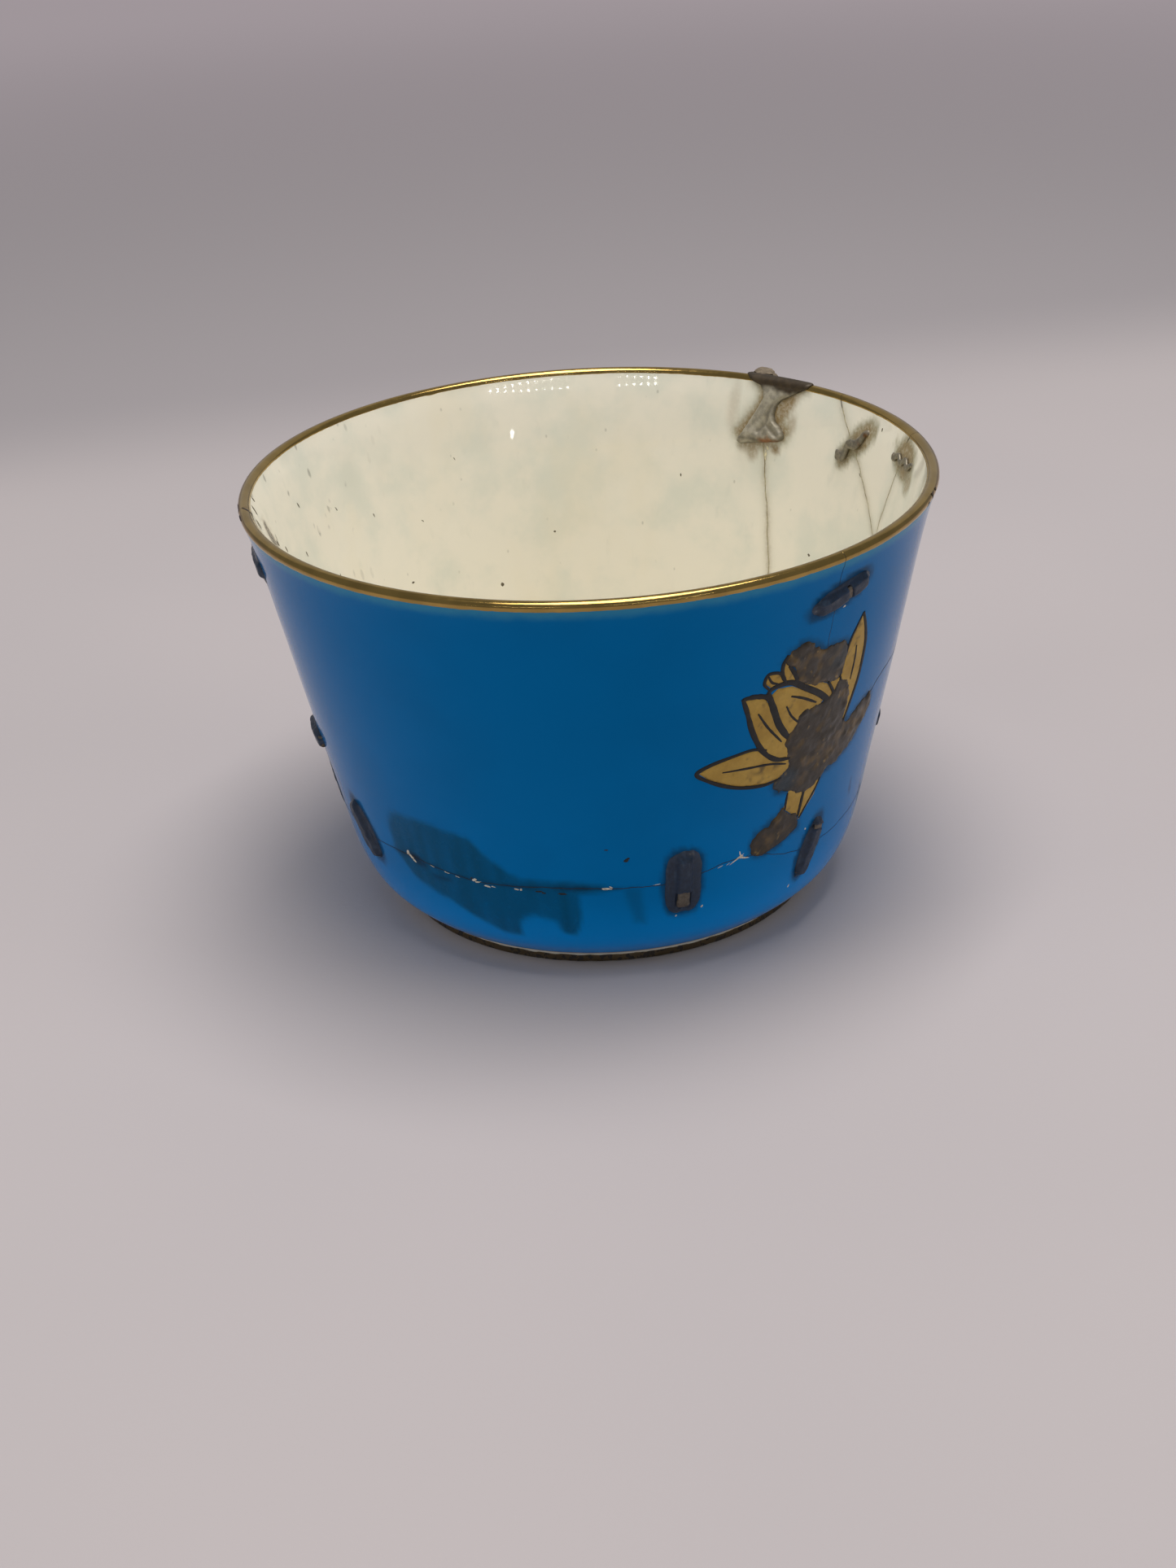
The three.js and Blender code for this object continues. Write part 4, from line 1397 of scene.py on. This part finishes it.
# Outlines in mm across and up from the flower's heart. The petals are flat gold; where the
# paint was renewed over the breaks it is thick, brown and rough.
PETALS = {
    "upright": [
        (8.4, 13.6), (7.5, 12.1), (6.7, 10.4), (6.1, 7.8), (6.1, 5.6), (7.0, 2.0), (8.6, -1.1),
        (9.6, 2.2), (10.2, 4.9), (10.1, 8.9), (9.4, 11.5),
    ],
    "bud_left": [(-3.5, 11.4), (-3.6, 10.0), (-2.9, 8.5), (-1.1, 7.9), (-1.9, 9.4), (-2.6, 10.5)],
    "bud_low": [(-5.8, 9.2), (-5.5, 10.3), (-4.2, 10.2), (-3.1, 8.7), (-4.8, 8.2)],
    "right_back": [
        (-1.2, 7.9), (-0.1, 7.6), (2.0, 7.0), (3.8, 6.0), (5.1, 4.2), (6.1, 2.0), (4.8, 3.0),
        (2.6, 5.0), (0.1, 6.7),
    ],
    "right_small": [(4.1, 6.2), (6.0, 6.0), (6.5, 4.3), (5.9, 3.0), (5.2, 4.3)],
    "middle": [
        (-4.8, 7.3), (-4.0, 8.0), (-2.0, 7.7), (0.1, 6.4), (2.2, 5.0), (3.6, 3.9), (2.2, 2.6),
        (0.6, 1.2), (-1.0, 0.2), (-2.1, 1.2), (-3.0, 3.0), (-3.9, 5.0),
    ],
    "left": [
        (-8.3, 7.7), (-7.1, 7.6), (-5.6, 7.2), (-4.8, 5.9), (-3.8, 4.1), (-2.9, 2.1),
        (-1.5, 0.5), (-0.6, -2.6), (-2.7, -2.2), (-4.4, -0.9), (-5.6, 0.7), (-6.8, 3.2),
        (-7.6, 6.0),
    ],
    "leaf": [
        (-13.3, -1.3), (-11.9, -0.5), (-9.3, 0.0), (-6.7, 0.2), (-5.0, -0.2), (-4.2, -1.2),
        (-2.7, -2.2), (-0.8, -2.8), (-0.4, -4.4), (-2.1, -5.1), (-4.1, -5.2), (-7.1, -4.7),
        (-9.3, -3.9), (-11.8, -2.6),
    ],
    "stem_left": [(0.1, -7.6), (2.9, -8.3), (2.6, -12.2), (1.2, -11.4), (-0.3, -10.2)],
    "stem_right": [
        (3.1, -8.4), (5.8, -7.9), (5.3, -10.1), (4.2, -11.4), (3.0, -13.0), (2.8, -12.0),
    ],
}
OVERPAINT = {
    "top": [
        (-3.3, 11.3), (-2.7, 12.3), (-1.4, 13.1), (-0.2, 13.0), (1.1, 12.1), (2.1, 11.2), (3.8, 11.3),
        (5.8, 10.8), (6.6, 10.0), (6.5, 8.6), (6.3, 6.2), (5.0, 5.9), (3.0, 6.3), (0.8, 6.9),
        (-1.0, 8.1), (-2.0, 9.9),
    ],
    "heart": [
        (-2.1, -0.3), (-1.3, 1.1), (0.2, 3.2), (1.5, 3.6), (3.2, 3.6), (4.6, 4.2), (6.0, 5.6),
        (7.6, 5.2), (8.7, 3.4), (8.9, 1.2), (8.5, -0.4), (9.5, -1.5), (11.4, -0.5),
        (13.3, 0.2), (14.6, 0.4),
        (15.6, -0.8), (15.3, -2.4), (13.6, -3.6), (12.4, -5.2), (10.6, -6.2), (8.8, -6.8),
        (6.6, -7.3), (5.3, -8.5), (3.6, -8.8), (1.6, -8.6), (0.0, -7.6), (-1.9, -7.2), (-2.6, -5.8),
        (-1.4, -4.4), (-0.4, -3.6), (-1.5, -2.0),
    ],
    "foot": [
        (-0.4, -10.1), (1.2, -11.2), (2.7, -12.3), (2.9, -14.0), (1.3, -14.9), (-0.5, -15.6),
        (-2.3, -16.0), (-4.4, -15.6), (-4.9, -14.2), (-4.2, -12.7), (-2.1, -11.5), (-0.9, -10.7),
    ],
}
# Strokes as (width, points). Each is a line of black enamel over the gold.
STROKES = [
    (0.34, [(8.4, 13.7), (9.4, 11.5), (10.15, 8.9), (10.2, 4.9), (9.6, 2.2), (8.6, -1.1),
            (8.4, -2.0)]),
    (0.22, [(8.4, 13.7), (7.5, 12.1), (6.7, 10.4), (6.1, 7.8), (6.0, 6.0)]),
    (0.2, [(8.2, 9.4), (8.4, 7.6), (8.3, 4.8)]),
    (0.3, [(-3.1, 12.2), (-3.6, 11.2), (-3.6, 9.8), (-2.9, 8.4)]),
    (0.34, [(-2.8, 10.7), (-1.9, 9.4), (-1.1, 8.0), (0.0, 7.0)]),
    (0.26, [(-3.0, 8.6), (-3.6, 9.7), (-4.3, 10.2), (-5.5, 10.3), (-5.9, 9.2), (-5.2, 8.2)]),
    (0.2, [(-5.5, 10.1), (-4.9, 9.1), (-4.1, 8.7)]),
    (0.5, [(-5.4, 7.4), (-4.8, 8.2), (-3.6, 8.4), (-2.0, 8.2), (-0.2, 7.0), (2.6, 5.1), (4.8, 3.1),
           (5.6, 1.6)]),
    (0.26, [(3.9, 6.2), (5.1, 4.5), (5.9, 2.9), (6.2, 1.6)]),
    (0.22, [(6.1, 6.0), (6.8, 4.2), (6.6, 2.6)]),
    (0.58, [(-5.3, 7.8), (-4.8, 6.7), (-4.08, 4.9), (-3.2, 2.9), (-1.8, 0.9), (-1.0, 0.2)]),
    (0.22, [(-1.9, 6.3), (0.0, 5.4), (2.3, 4.0)]),
    (0.18, [(-2.4, 5.1), (-1.4, 3.4), (0.2, 1.8)]),
    (0.4, [(-8.5, 7.8), (-7.1, 7.8), (-5.6, 7.4), (-5.1, 6.8)]),
    (0.42, [(-8.5, 7.9), (-7.8, 6.0), (-6.9, 3.2), (-5.7, 0.7), (-4.4, -1.0), (-2.7, -2.2),
            (-0.6, -2.7)]),
    (0.2, [(-6.3, 5.3), (-4.7, 2.9), (-2.4, 0.2)]),
    (0.3, [(-4.5, -0.3), (-5.2, 0.0), (-6.7, 0.35), (-9.3, 0.1), (-11.9, -0.4), (-13.6, -1.3),
           (-11.9, -2.7), (-9.3, -4.1), (-7.1, -4.85), (-4.1, -5.4), (-1.6, -5.2)]),
    (0.2, [(-10.3, -1.8), (-7.0, -2.1), (-3.8, -2.5), (-1.2, -3.3)]),
    (0.2, [(0.0, -8.0), (-0.05, -9.4), (0.0, -10.4)]),
    (0.24, [(5.9, -7.9), (5.2, -9.4), (4.1, -11.0), (3.0, -12.7)]),
    (0.32, [(3.0, -8.3), (2.85, -10.2), (2.72, -12.3)]),
]


def ragged_edge(outline, step, depth, seed):
    """The outline rounded off, with small random steps along it."""
    curve = spline(outline + outline[:2], 6)[6:-6]
    edge = resample(np.vstack([curve, curve[:1]]), step)[:-1]
    u, v = edge.T
    return edge + depth * np.column_stack([rough(u, v, seed, 0.9), rough(u, v, seed + 7, 0.9)])


def decal(edge, height, spacing):
    """A closed thin patch on the flower. height gives the lift from u, v and edge distance."""
    low, high = edge.min(0), edge.max(0)
    u, v = np.meshgrid(np.arange(low[0], high[0], spacing), np.arange(low[1], high[1], spacing))
    u = u + (np.arange(len(u)) % 2)[:, None] * spacing / 2
    keep = edge_distance(u, v, edge) > spacing * 0.55
    points = np.vstack([edge, np.column_stack([u[keep], v[keep]])])
    ring = list(range(len(edge)))
    done = geometry.delaunay_2d_cdt([Vector(p) for p in points], [], [ring], 1, 1e-5)
    u, v = np.array([tuple(p) for p in done[0]]).T
    triangles = [tuple(f) for f in done[2]]
    top = on_flower(u, v, height(u, v, np.clip(edge_distance(u, v, edge), 0, None)))
    sides = {(f[k], f[(k + 1) % 3]) for f in triangles for k in range(3)}
    border = sorted((i, j) for i, j in sides if (j, i) not in sides)
    count = len(u)
    faces = triangles + [(count + c, count + b, count + a) for a, b, c in triangles]
    faces += [(j, i, count + i, count + j) for i, j in border]
    return np.vstack([top, on_flower(u, v, DECAL_SUNK)]), faces


STROKE_SECTION = [(-1, 0.02), (-0.8, 0.06), (0, 0.075), (0.8, 0.06), (1, 0.02)]


def stroke(width, points, seed):
    """A raised enamel line that swells in the middle and thins to its ends."""
    line = resample(spline(points, 6), 0.16)
    across = quarter_turn(unit(np.gradient(line, axis=0)))
    along = np.linspace(0, 1, len(line))
    half = width * 0.88 * (0.5 + 0.5 * np.sin(math.pi * np.clip(along, 0.02, 0.98)) ** 0.5)
    half = half * (1 + 0.16 * noise(along * 40, seed, 7, 4.0))
    top, under = [], []
    for share, lift in STROKE_SECTION:
        u, v = (line + across * (half * share)[:, None]).T
        top.append(on_flower(u, v, lift))
        under.append(on_flower(u, v, DECAL_SUNK))
    return shell(np.stack(under), np.stack(top))


def flower_place(points):
    """Each point's mm across and up from the flower's heart."""
    bearing, z, _ = place_of(points)
    return (bearing - FLOWER_BEARING) * FLOWER_ARC, z - FLOWER_Z


PETAL_GOLD = srgb(192, 156, 68), srgb(174, 138, 54)
PETAL_WORN = srgb(78, 64, 40)
ENAMEL_BLACK = srgb(10, 9, 8)
CRUST_BROWN = srgb(50, 41, 26)
CRUST_OCHRE = srgb(104, 80, 32)
CRUST_SLATE = srgb(26, 50, 62)
CRUST_FLAKE = srgb(166, 134, 66)
OCHRE_STRIP = [(1.5, -5.5), (6.0, -4.2), (9.5, -2.6), (14.0, -1.2)]


def petal_lift(u, v, d):
    return 0.03 * smooth(0, 0.12, d)


def build_petals(material):
    parts = []
    for outline in PETALS.values():
        edge = resample(outline + outline[:1], PETAL_GRID * EDGE_STEP)[:-1]
        parts.append(decal(edge, petal_lift, PETAL_GRID))
    petals = new_object("gold_petals", *join(parts))
    u, v = flower_place(points_of(petals))
    colours = blend(*PETAL_GOLD, smooth(-0.5, 0.7, rough(u, v, 101, 2.2))[:, None])
    worn = smooth(0.45, 0.75, rough(u, v, 103, 0.8)) * 0.5
    leaf = smooth(1.3, 0.3, np.hypot((u + 4.2) / 2.4, (v + 2.9) / 0.8))
    leaf *= smooth(-0.3, 0.4, rough(u, v, 104, 0.7))
    paint(petals, blend(colours, PETAL_WORN, np.clip(worn + leaf * 0.8, 0, 1)[:, None]))
    finish_piece(petals, material)


def build_outlines(material):
    parts = [stroke(width, points, 110 + i) for i, (width, points) in enumerate(STROKES)]
    lines = new_object("enamel_outlines", *join(parts))
    paint(lines, ENAMEL_BLACK)
    finish_piece(lines, material)


def crust_lift(seed):
    def lift(u, v, d):
        grain = rough(u, v, seed, 1.6)
        return 0.005 + smooth(0, 0.45, d) * (0.1 + 0.1 * grain + 0.06 * smooth(0.3, 0.6, grain))

    return lift


def build_overpaint(material):
    """Thick brown paint, ochre on top and along a strip, slate in two places, with flakes."""
    parts = []
    for index, outline in enumerate(OVERPAINT.values()):
        edge = ragged_edge(outline, CRUST_GRID * EDGE_STEP, 0.42, 130 + index)
        parts.append(decal(edge, crust_lift(120 + index), CRUST_GRID))
    crusts = new_object("brown_overpaint", *join(parts))
    u, v = flower_place(points_of(crusts))
    top = smooth(5.0, 8.0, v) * smooth(6.5, 3.0, u)
    strip = smooth(2.2, 0.3, line_distance(u, v, OCHRE_STRIP))
    ochre = smooth(0.1, 0.9, rough(u + v, u - v, 141, 1.8) + 0.3 * top + 0.45 * strip)
    slate = smooth(2.6, 1.0, np.hypot(u + 0.9, v + 5.9))
    slate += smooth(2.4, 1.0, np.hypot(u - 5.0, v - 9.2)) * 0.55
    slate += smooth(0.45, 0.9, rough(u, v, 143, 2.2)) * 0.5
    flakes = smooth(0.62, 0.85, rough(u * 1.5, v, 145, 0.8))
    colours = blend(CRUST_BROWN, CRUST_OCHRE, ochre[:, None] * 0.85)
    colours = blend(colours, CRUST_SLATE, np.clip(slate, 0, 1)[:, None] * 0.8)
    paint(crusts, blend(colours, CRUST_FLAKE, flakes[:, None] * 0.7))
    finish_piece(crusts, material)


# ---------------------------------------------------------------- small chips and specks


FLECK_SPOKES = 18
FLECK_PROUD = 0.045
FLECK_SUNK = -0.08


def fleck(bearing, z, length, width, turn, seed, inside):
    """A tiny irregular flake. Returns its points and faces."""
    phi = np.linspace(0, 2 * math.pi, FLECK_SPOKES, endpoint=False)
    reach = 1 + 0.45 * rough(2 * np.cos(phi), 2 * np.sin(phi), seed, 0.9)
    a, b = length / 2 * np.cos(phi) * reach, width / 2 * np.sin(phi) * reach
    rings = ((0.6, FLECK_PROUD * 0.9), (1, 0.0), (1, FLECK_SUNK))
    a = np.concatenate([[0], *(a * share for share, _ in rings), [0]])
    b = np.concatenate([[0], *(b * share for share, _ in rings), [0]])
    lift = np.repeat([lift for _, lift in rings], FLECK_SPOKES)
    lift = np.concatenate([[FLECK_PROUD], lift, [FLECK_SUNK]])
    return beside((bearing, z, turn), a, b, lift, inside), skin_faces(len(rings), FLECK_SPOKES)


def build_flecks(name, specs, colour, material, inside=False):
    parts = [fleck(*spec, 150 + i, inside) for i, spec in enumerate(specs)]
    obj = new_object(name, *join(parts))
    x, _, z = points_of(obj).T
    shade = 1 + 0.18 * rough(x, z, 171, 0.5)[:, None]
    paint(obj, np.clip(np.array(colour) * shade, 0, 1))
    finish_piece(obj, material)


# Each fleck is its bearing, z, length, width and turn.
CHIPS = [
    (-134.6, 15.4, 0.9, 0.45, 60), (-134.0, 14.9, 1.1, 0.4, 140), (-133.2, 14.4, 0.7, 0.35, 150),
    (-128.2, 14.6, 0.7, 0.1, 165), (-124.6, 14.3, 0.9, 0.14, 172), (-122.0, 14.1, 0.6, 0.08, 170),
    (-118.0, 14.2, 0.7, 0.4, 25), (-117.3, 14.0, 0.9, 0.2, 15), (-115.2, 13.6, 0.9, 0.28, 172),
    (-113.9, 13.7, 0.6, 0.14, 170), (-108.8, 13.8, 0.6, 0.2, 170), (-107.9, 13.8, 0.4, 0.3, 60),
    (-90.4, 14.3, 1.3, 0.28, 178), (-89.6, 14.5, 0.5, 0.2, 150), (-80.4, 14.3, 0.9, 0.09, 5),
    (-67.2, 15.1, 0.7, 0.08, 20), (-65.4, 15.2, 0.5, 0.07, 30), (-63.4, 15.6, 1.9, 0.26, 32),
    (-61.9, 15.5, 1.5, 0.24, 160), (-62.8, 16.2, 0.9, 0.16, 105), (-62.5, 15.7, 0.6, 0.4, 20),
    (-45.6, 15.9, 0.3, 0.25, 0), (-40.1, 26.2, 0.35, 0.25, 80), (-47.2, 7.6, 0.5, 0.25, 75),
    (-76.2, 8.9, 0.35, 0.2, 40), (-70.6, 9.6, 0.4, 0.25, 60), (-46.4, 47.0, 0.45, 0.2, 10),
]
PITS = [
    (-86.4, 18.4, 0.62, 0.5, 20), (-86.1, 18.7, 0.3, 0.4, 100), (-90.2, 20.2, 0.5, 0.2, 5),
    (-104.2, 13.8, 0.9, 0.28, 5), (-103.2, 13.6, 0.6, 0.3, 170), (-99.4, 13.6, 0.9, 0.3, 0),
    (-118.6, 14.4, 0.4, 0.25, 30), (-133.0, 15.1, 0.7, 0.25, 150),
]
RIM_DIRT = [
    (-19.4, 54.0, 1.1, 0.5, 60), (-22.2, 53.7, 1.2, 0.5, 10), (-16.8, 54.1, 0.6, 0.4, 20),
    (-170.4, 53.6, 1.0, 0.5, 85), (-172.6, 53.9, 0.7, 0.4, 20), (-168.6, 53.4, 0.5, 0.3, 60),
]
DRIP = [(51.1, 44.7, 1.6, 0.4, 85), (50.8, 45.6, 0.7, 0.3, 60)]
INSIDE_SPECKS = [
    (111.6, 26.8, 0.5, 0.55, 0), (162.0, 47.4, 0.9, 0.22, 70), (174.0, 44.5, 1.1, 0.3, 70),
    (-172.0, 51.6, 2.0, 0.4, 60), (-169.6, 50.2, 1.9, 0.5, 45), (-174.8, 52.8, 1.6, 0.4, 65),
    (-165.0, 48.2, 1.7, 0.45, 30), (-178.0, 53.4, 1.2, 0.3, 60), (178.0, 46.4, 1.2, 0.35, 60),
    (21.0, 52.6, 0.5, 0.25, 80), (24.6, 46.0, 0.7, 0.12, 40), (150.0, 44.0, 0.7, 0.16, 60),
    (140.0, 41.0, 0.6, 0.14, 75), (128.0, 38.0, 0.5, 0.14, 50), (165.0, 41.5, 0.9, 0.2, 75),
    (155.0, 36.0, 0.6, 0.14, 80), (118.0, 45.0, 0.5, 0.12, 65), (134.0, 30.5, 0.4, 0.3, 0),
    (146.0, 24.0, 0.35, 0.2, 40), (98.0, 33.0, 0.3, 0.25, 0), (70.0, 40.5, 0.45, 0.2, 80),
    (36.0, 33.2, 0.5, 0.3, 20),
]


# ---------------------------------------------------------------- stage, light and camera

CAMERA_PLACE = (0.0, -276.8, 151.25)  # mm
CAMERA_PITCH = 26.87  # degrees down
CAMERA_YAW = -0.425
CAMERA_ROLL = -3.15
FOCAL_SHARE = 1.50182  # focal length over the long side of the picture
SENSOR = 36.0

FLOOR_HALF = 4000.0
NEAR_PAPER = (0.53, 0.485, 0.485), (0.51, 0.47, 0.473)  # two tones in soft patches
# Painted shade: the paper behind the cup darkens to this tone.
SHADED_FAR_PAPER = (0.4, 0.37, 0.38)
FAR_EDGE = (165.0, 240.0)  # mm behind the cup over which the paper darkens
FAR_SLANT = 0.2  # how far the darkening leans away at the right
SURROUND = (0.35, 0.305, 0.325)  # what the paper fades to all round
SURROUND_EDGE = (240.0, 800.0)  # mm from the cup over which it fades
BLACK = (0.0, 0.0, 0.0)
SKY = (0.93, 0.95, 1.0)
SKY_STRENGTH = 0.225
COOL = (0.96, 0.97, 1.0)
LAMP_WHITE = (1.0, 0.98, 0.92)
# Two rows of small lamps, which glint at the top of the inner back wall, as degrees round the
# cup to the camera's right.
LAMP_ROWS = (*np.linspace(36, 6, 11), *np.linspace(-14, -28, 6))
LAMP_DISTANCE = 470
LAMP_HEIGHT = 252


def build_stage():
    """A flat pale table that fades to the surrounding tone, with painted shade that darkens it first
    behind the cup.
    """
    corners = [(-1, -1), (1, -1), (1, 1), (-1, 1)]
    floor = [(x * FLOOR_HALF, y * FLOOR_HALF, 0) for x, y in corners]
    stage = new_object("stage_paper", floor, [(0, 1, 2, 3)])
    n = Nodes("stage_paper")
    tone = n.mix(n.ramp(n.noise(120, 2), 0.3, 0.7), *NEAR_PAPER)
    x, y, _ = n.axes()
    # Painted shade behind the cup.
    depth = n.plus(y, n.times(x, -FAR_SLANT))
    tone = n.mix(n.ramp(depth, FAR_EDGE[0] * MM, FAR_EDGE[1] * MM), tone, SHADED_FAR_PAPER)
    squares = n.plus(n.times(x, x), n.times(y, y))
    near, far = SURROUND_EDGE
    fade = n.ramp(n.math("POWER", squares, 0.5), near * MM, far * MM)
    n.set(
        Base_Color=n.mix(fade, tone, BLACK),
        Roughness=0.85,
        Specular_IOR_Level=n.times(n.minus(1.0, fade), 0.1),
        Emission_Color=SURROUND,
        Emission_Strength=fade,
    )
    n.bump(n.noise(0.9, 3), 0.02)
    stage.data.materials.append(n.material)


def area_light(name, place, target, size, power, colour, reflected=True):
    """A soft panel in mm and watts, which shows in reflections unless told otherwise."""
    light = bpy.data.lights.new(name, "AREA")
    light.shape = "RECTANGLE"
    light.size, light.size_y = size[0] * MM, size[1] * MM
    light.energy = power
    light.color = colour
    obj = bpy.data.objects.new(name, light)
    obj.location = Vector(place) * MM
    aim = (Vector(target) - Vector(place)).to_track_quat("-Z", "Y")
    obj.rotation_euler = aim.to_euler()
    obj.visible_camera = False
    obj.visible_glossy = reflected
    bpy.context.scene.collection.objects.link(obj)


def build_world():
    """A dim cool sky for light and reflections. The camera sees the surround in its place."""
    world = bpy.data.worlds.new("studio")
    bpy.context.scene.world = world
    world.use_nodes = True
    nodes, links = world.node_tree.nodes, world.node_tree.links
    sky = nodes["Background"]
    sky.inputs["Color"].default_value = (*SKY, 1)
    sky.inputs["Strength"].default_value = SKY_STRENGTH
    seen = nodes.new("ShaderNodeBackground")
    seen.inputs["Color"].default_value = (*SURROUND, 1)
    rays, choice = nodes.new("ShaderNodeLightPath"), nodes.new("ShaderNodeMixShader")
    links.new(rays.outputs["Is Camera Ray"], choice.inputs[0])
    links.new(sky.outputs[0], choice.inputs[1])
    links.new(seen.outputs[0], choice.inputs[2])
    links.new(choice.outputs[0], nodes["World Output"].inputs["Surface"])


def build_lights():
    area_light("soft_overhead", (40, -15, 600), (0, 10, 20), (400, 300), 2.8, (1.0, 0.96, 0.935))
    area_light("back_panel", (0, 480, 300), (0, 0, 50), (1000, 420), 0.28, (1.0, 0.97, 0.95))
    area_light("left_fill", (-520, -200, 330), (0, 0, 30), (260, 260), 0.55, COOL, False)
    area_light("right_fill", (520, -120, 300), (0, 0, 30), (260, 260), 0.45, COOL, False)
    for index, bearing in enumerate(LAMP_ROWS):
        place = tuple(polar(LAMP_DISTANCE, bearing - 90, LAMP_HEIGHT))
        area_light(f"lamp_{index}", place, (0, 40, 50), (4, 4), 0.006, (1.0, 0.98, 0.9))
    area_light("lamp_single", (246, -453, 130), (0, 40, 45), (8, 8), 0.012, LAMP_WHITE)
    area_light("lamp_right", (-303, -393, 217), (0, 40, 45), (5, 5), 0.003, LAMP_WHITE)


def build_camera():
    camera = bpy.data.cameras.new("camera")
    camera.sensor_width = SENSOR
    camera.lens = FOCAL_SHARE * SENSOR
    camera.clip_start, camera.clip_end = 0.01, 10
    obj = bpy.data.objects.new("camera", camera)
    obj.location = Vector(CAMERA_PLACE) * MM
    obj.rotation_mode = "QUATERNION"
    yaw, pitch, roll = (math.radians(x) for x in (CAMERA_YAW, CAMERA_PITCH, CAMERA_ROLL))
    level = math.cos(pitch)
    forward = Vector((math.sin(yaw) * level, math.cos(yaw) * level, -math.sin(pitch)))
    unrolled = forward.to_track_quat("-Z", "Y")
    obj.rotation_quaternion = unrolled @ Quaternion((0, 0, 1), roll)
    bpy.context.scene.collection.objects.link(obj)
    bpy.context.scene.camera = obj


# ---------------------------------------------------------------- assembly

filler_paint = painted_surface("filler_paint", (0.3, 0.5), 0.3, 0.03)
staple_metal = painted_surface("staple_metal", (0.35, 0.6), 0.25, 0.03, 0.7)
build_sherds([blue_glaze(), cream_glaze(), bare_porcelain()])
build_seams(painted_surface("crack_cement", (0.4, 0.7), 0.3, 0.01))
build_rim_gilding(gilding("rim_gold", GOLD, (0.12, 0.2), 0.76, (0.09, 0.065, 0.03)))
build_foot_gilding(gilding("foot_gold", FOOT_GOLD, (0.35, 0.5), 0.52, (0.045, 0.036, 0.028)))
for index, name in enumerate(OUTER_STAPLES):
    build_filler(name, filler_paint, 200 + 10 * index)
    build_staple(name, staple_metal, 400 + 10 * index)
for index, name in enumerate(INNER_STAPLES):
    build_staple(name, staple_metal, 600 + 10 * index)
build_clamp(painted_surface("lead", (0.4, 0.6), 0.5, 0.03, 0.25))
build_putty(painted_surface("putty", (0.75, 0.9), 0.5, 0.08))
build_petals(painted_surface("petal_gold", (0.42, 0.55), 0.4, 0.008, 0.2, 0.1))
build_outlines(painted_surface("black_enamel", (0.5, 0.6), 0.3, 0.01))
build_overpaint(painted_surface("old_overpaint", (0.3, 0.5), 0.8, 0.05))
fleck_paint = painted_surface("flecks", (0.4, 0.7), 0.2, 0.02)
build_rim_marks(fleck_paint)
build_flecks("porcelain_chips", CHIPS, srgb(236, 226, 206), fleck_paint)
build_flecks("glaze_pits", PITS, srgb(20, 26, 30), fleck_paint)
build_flecks("rim_dirt", RIM_DIRT, srgb(46, 34, 22), fleck_paint)
build_flecks("pale_drip", DRIP, srgb(232, 222, 186), fleck_paint, True)
build_flecks("inside_specks", INSIDE_SPECKS, srgb(104, 94, 70), fleck_paint, True)

build_stage()
build_world()
build_lights()
build_camera()
bpy.context.scene.view_settings.view_transform = "Standard"
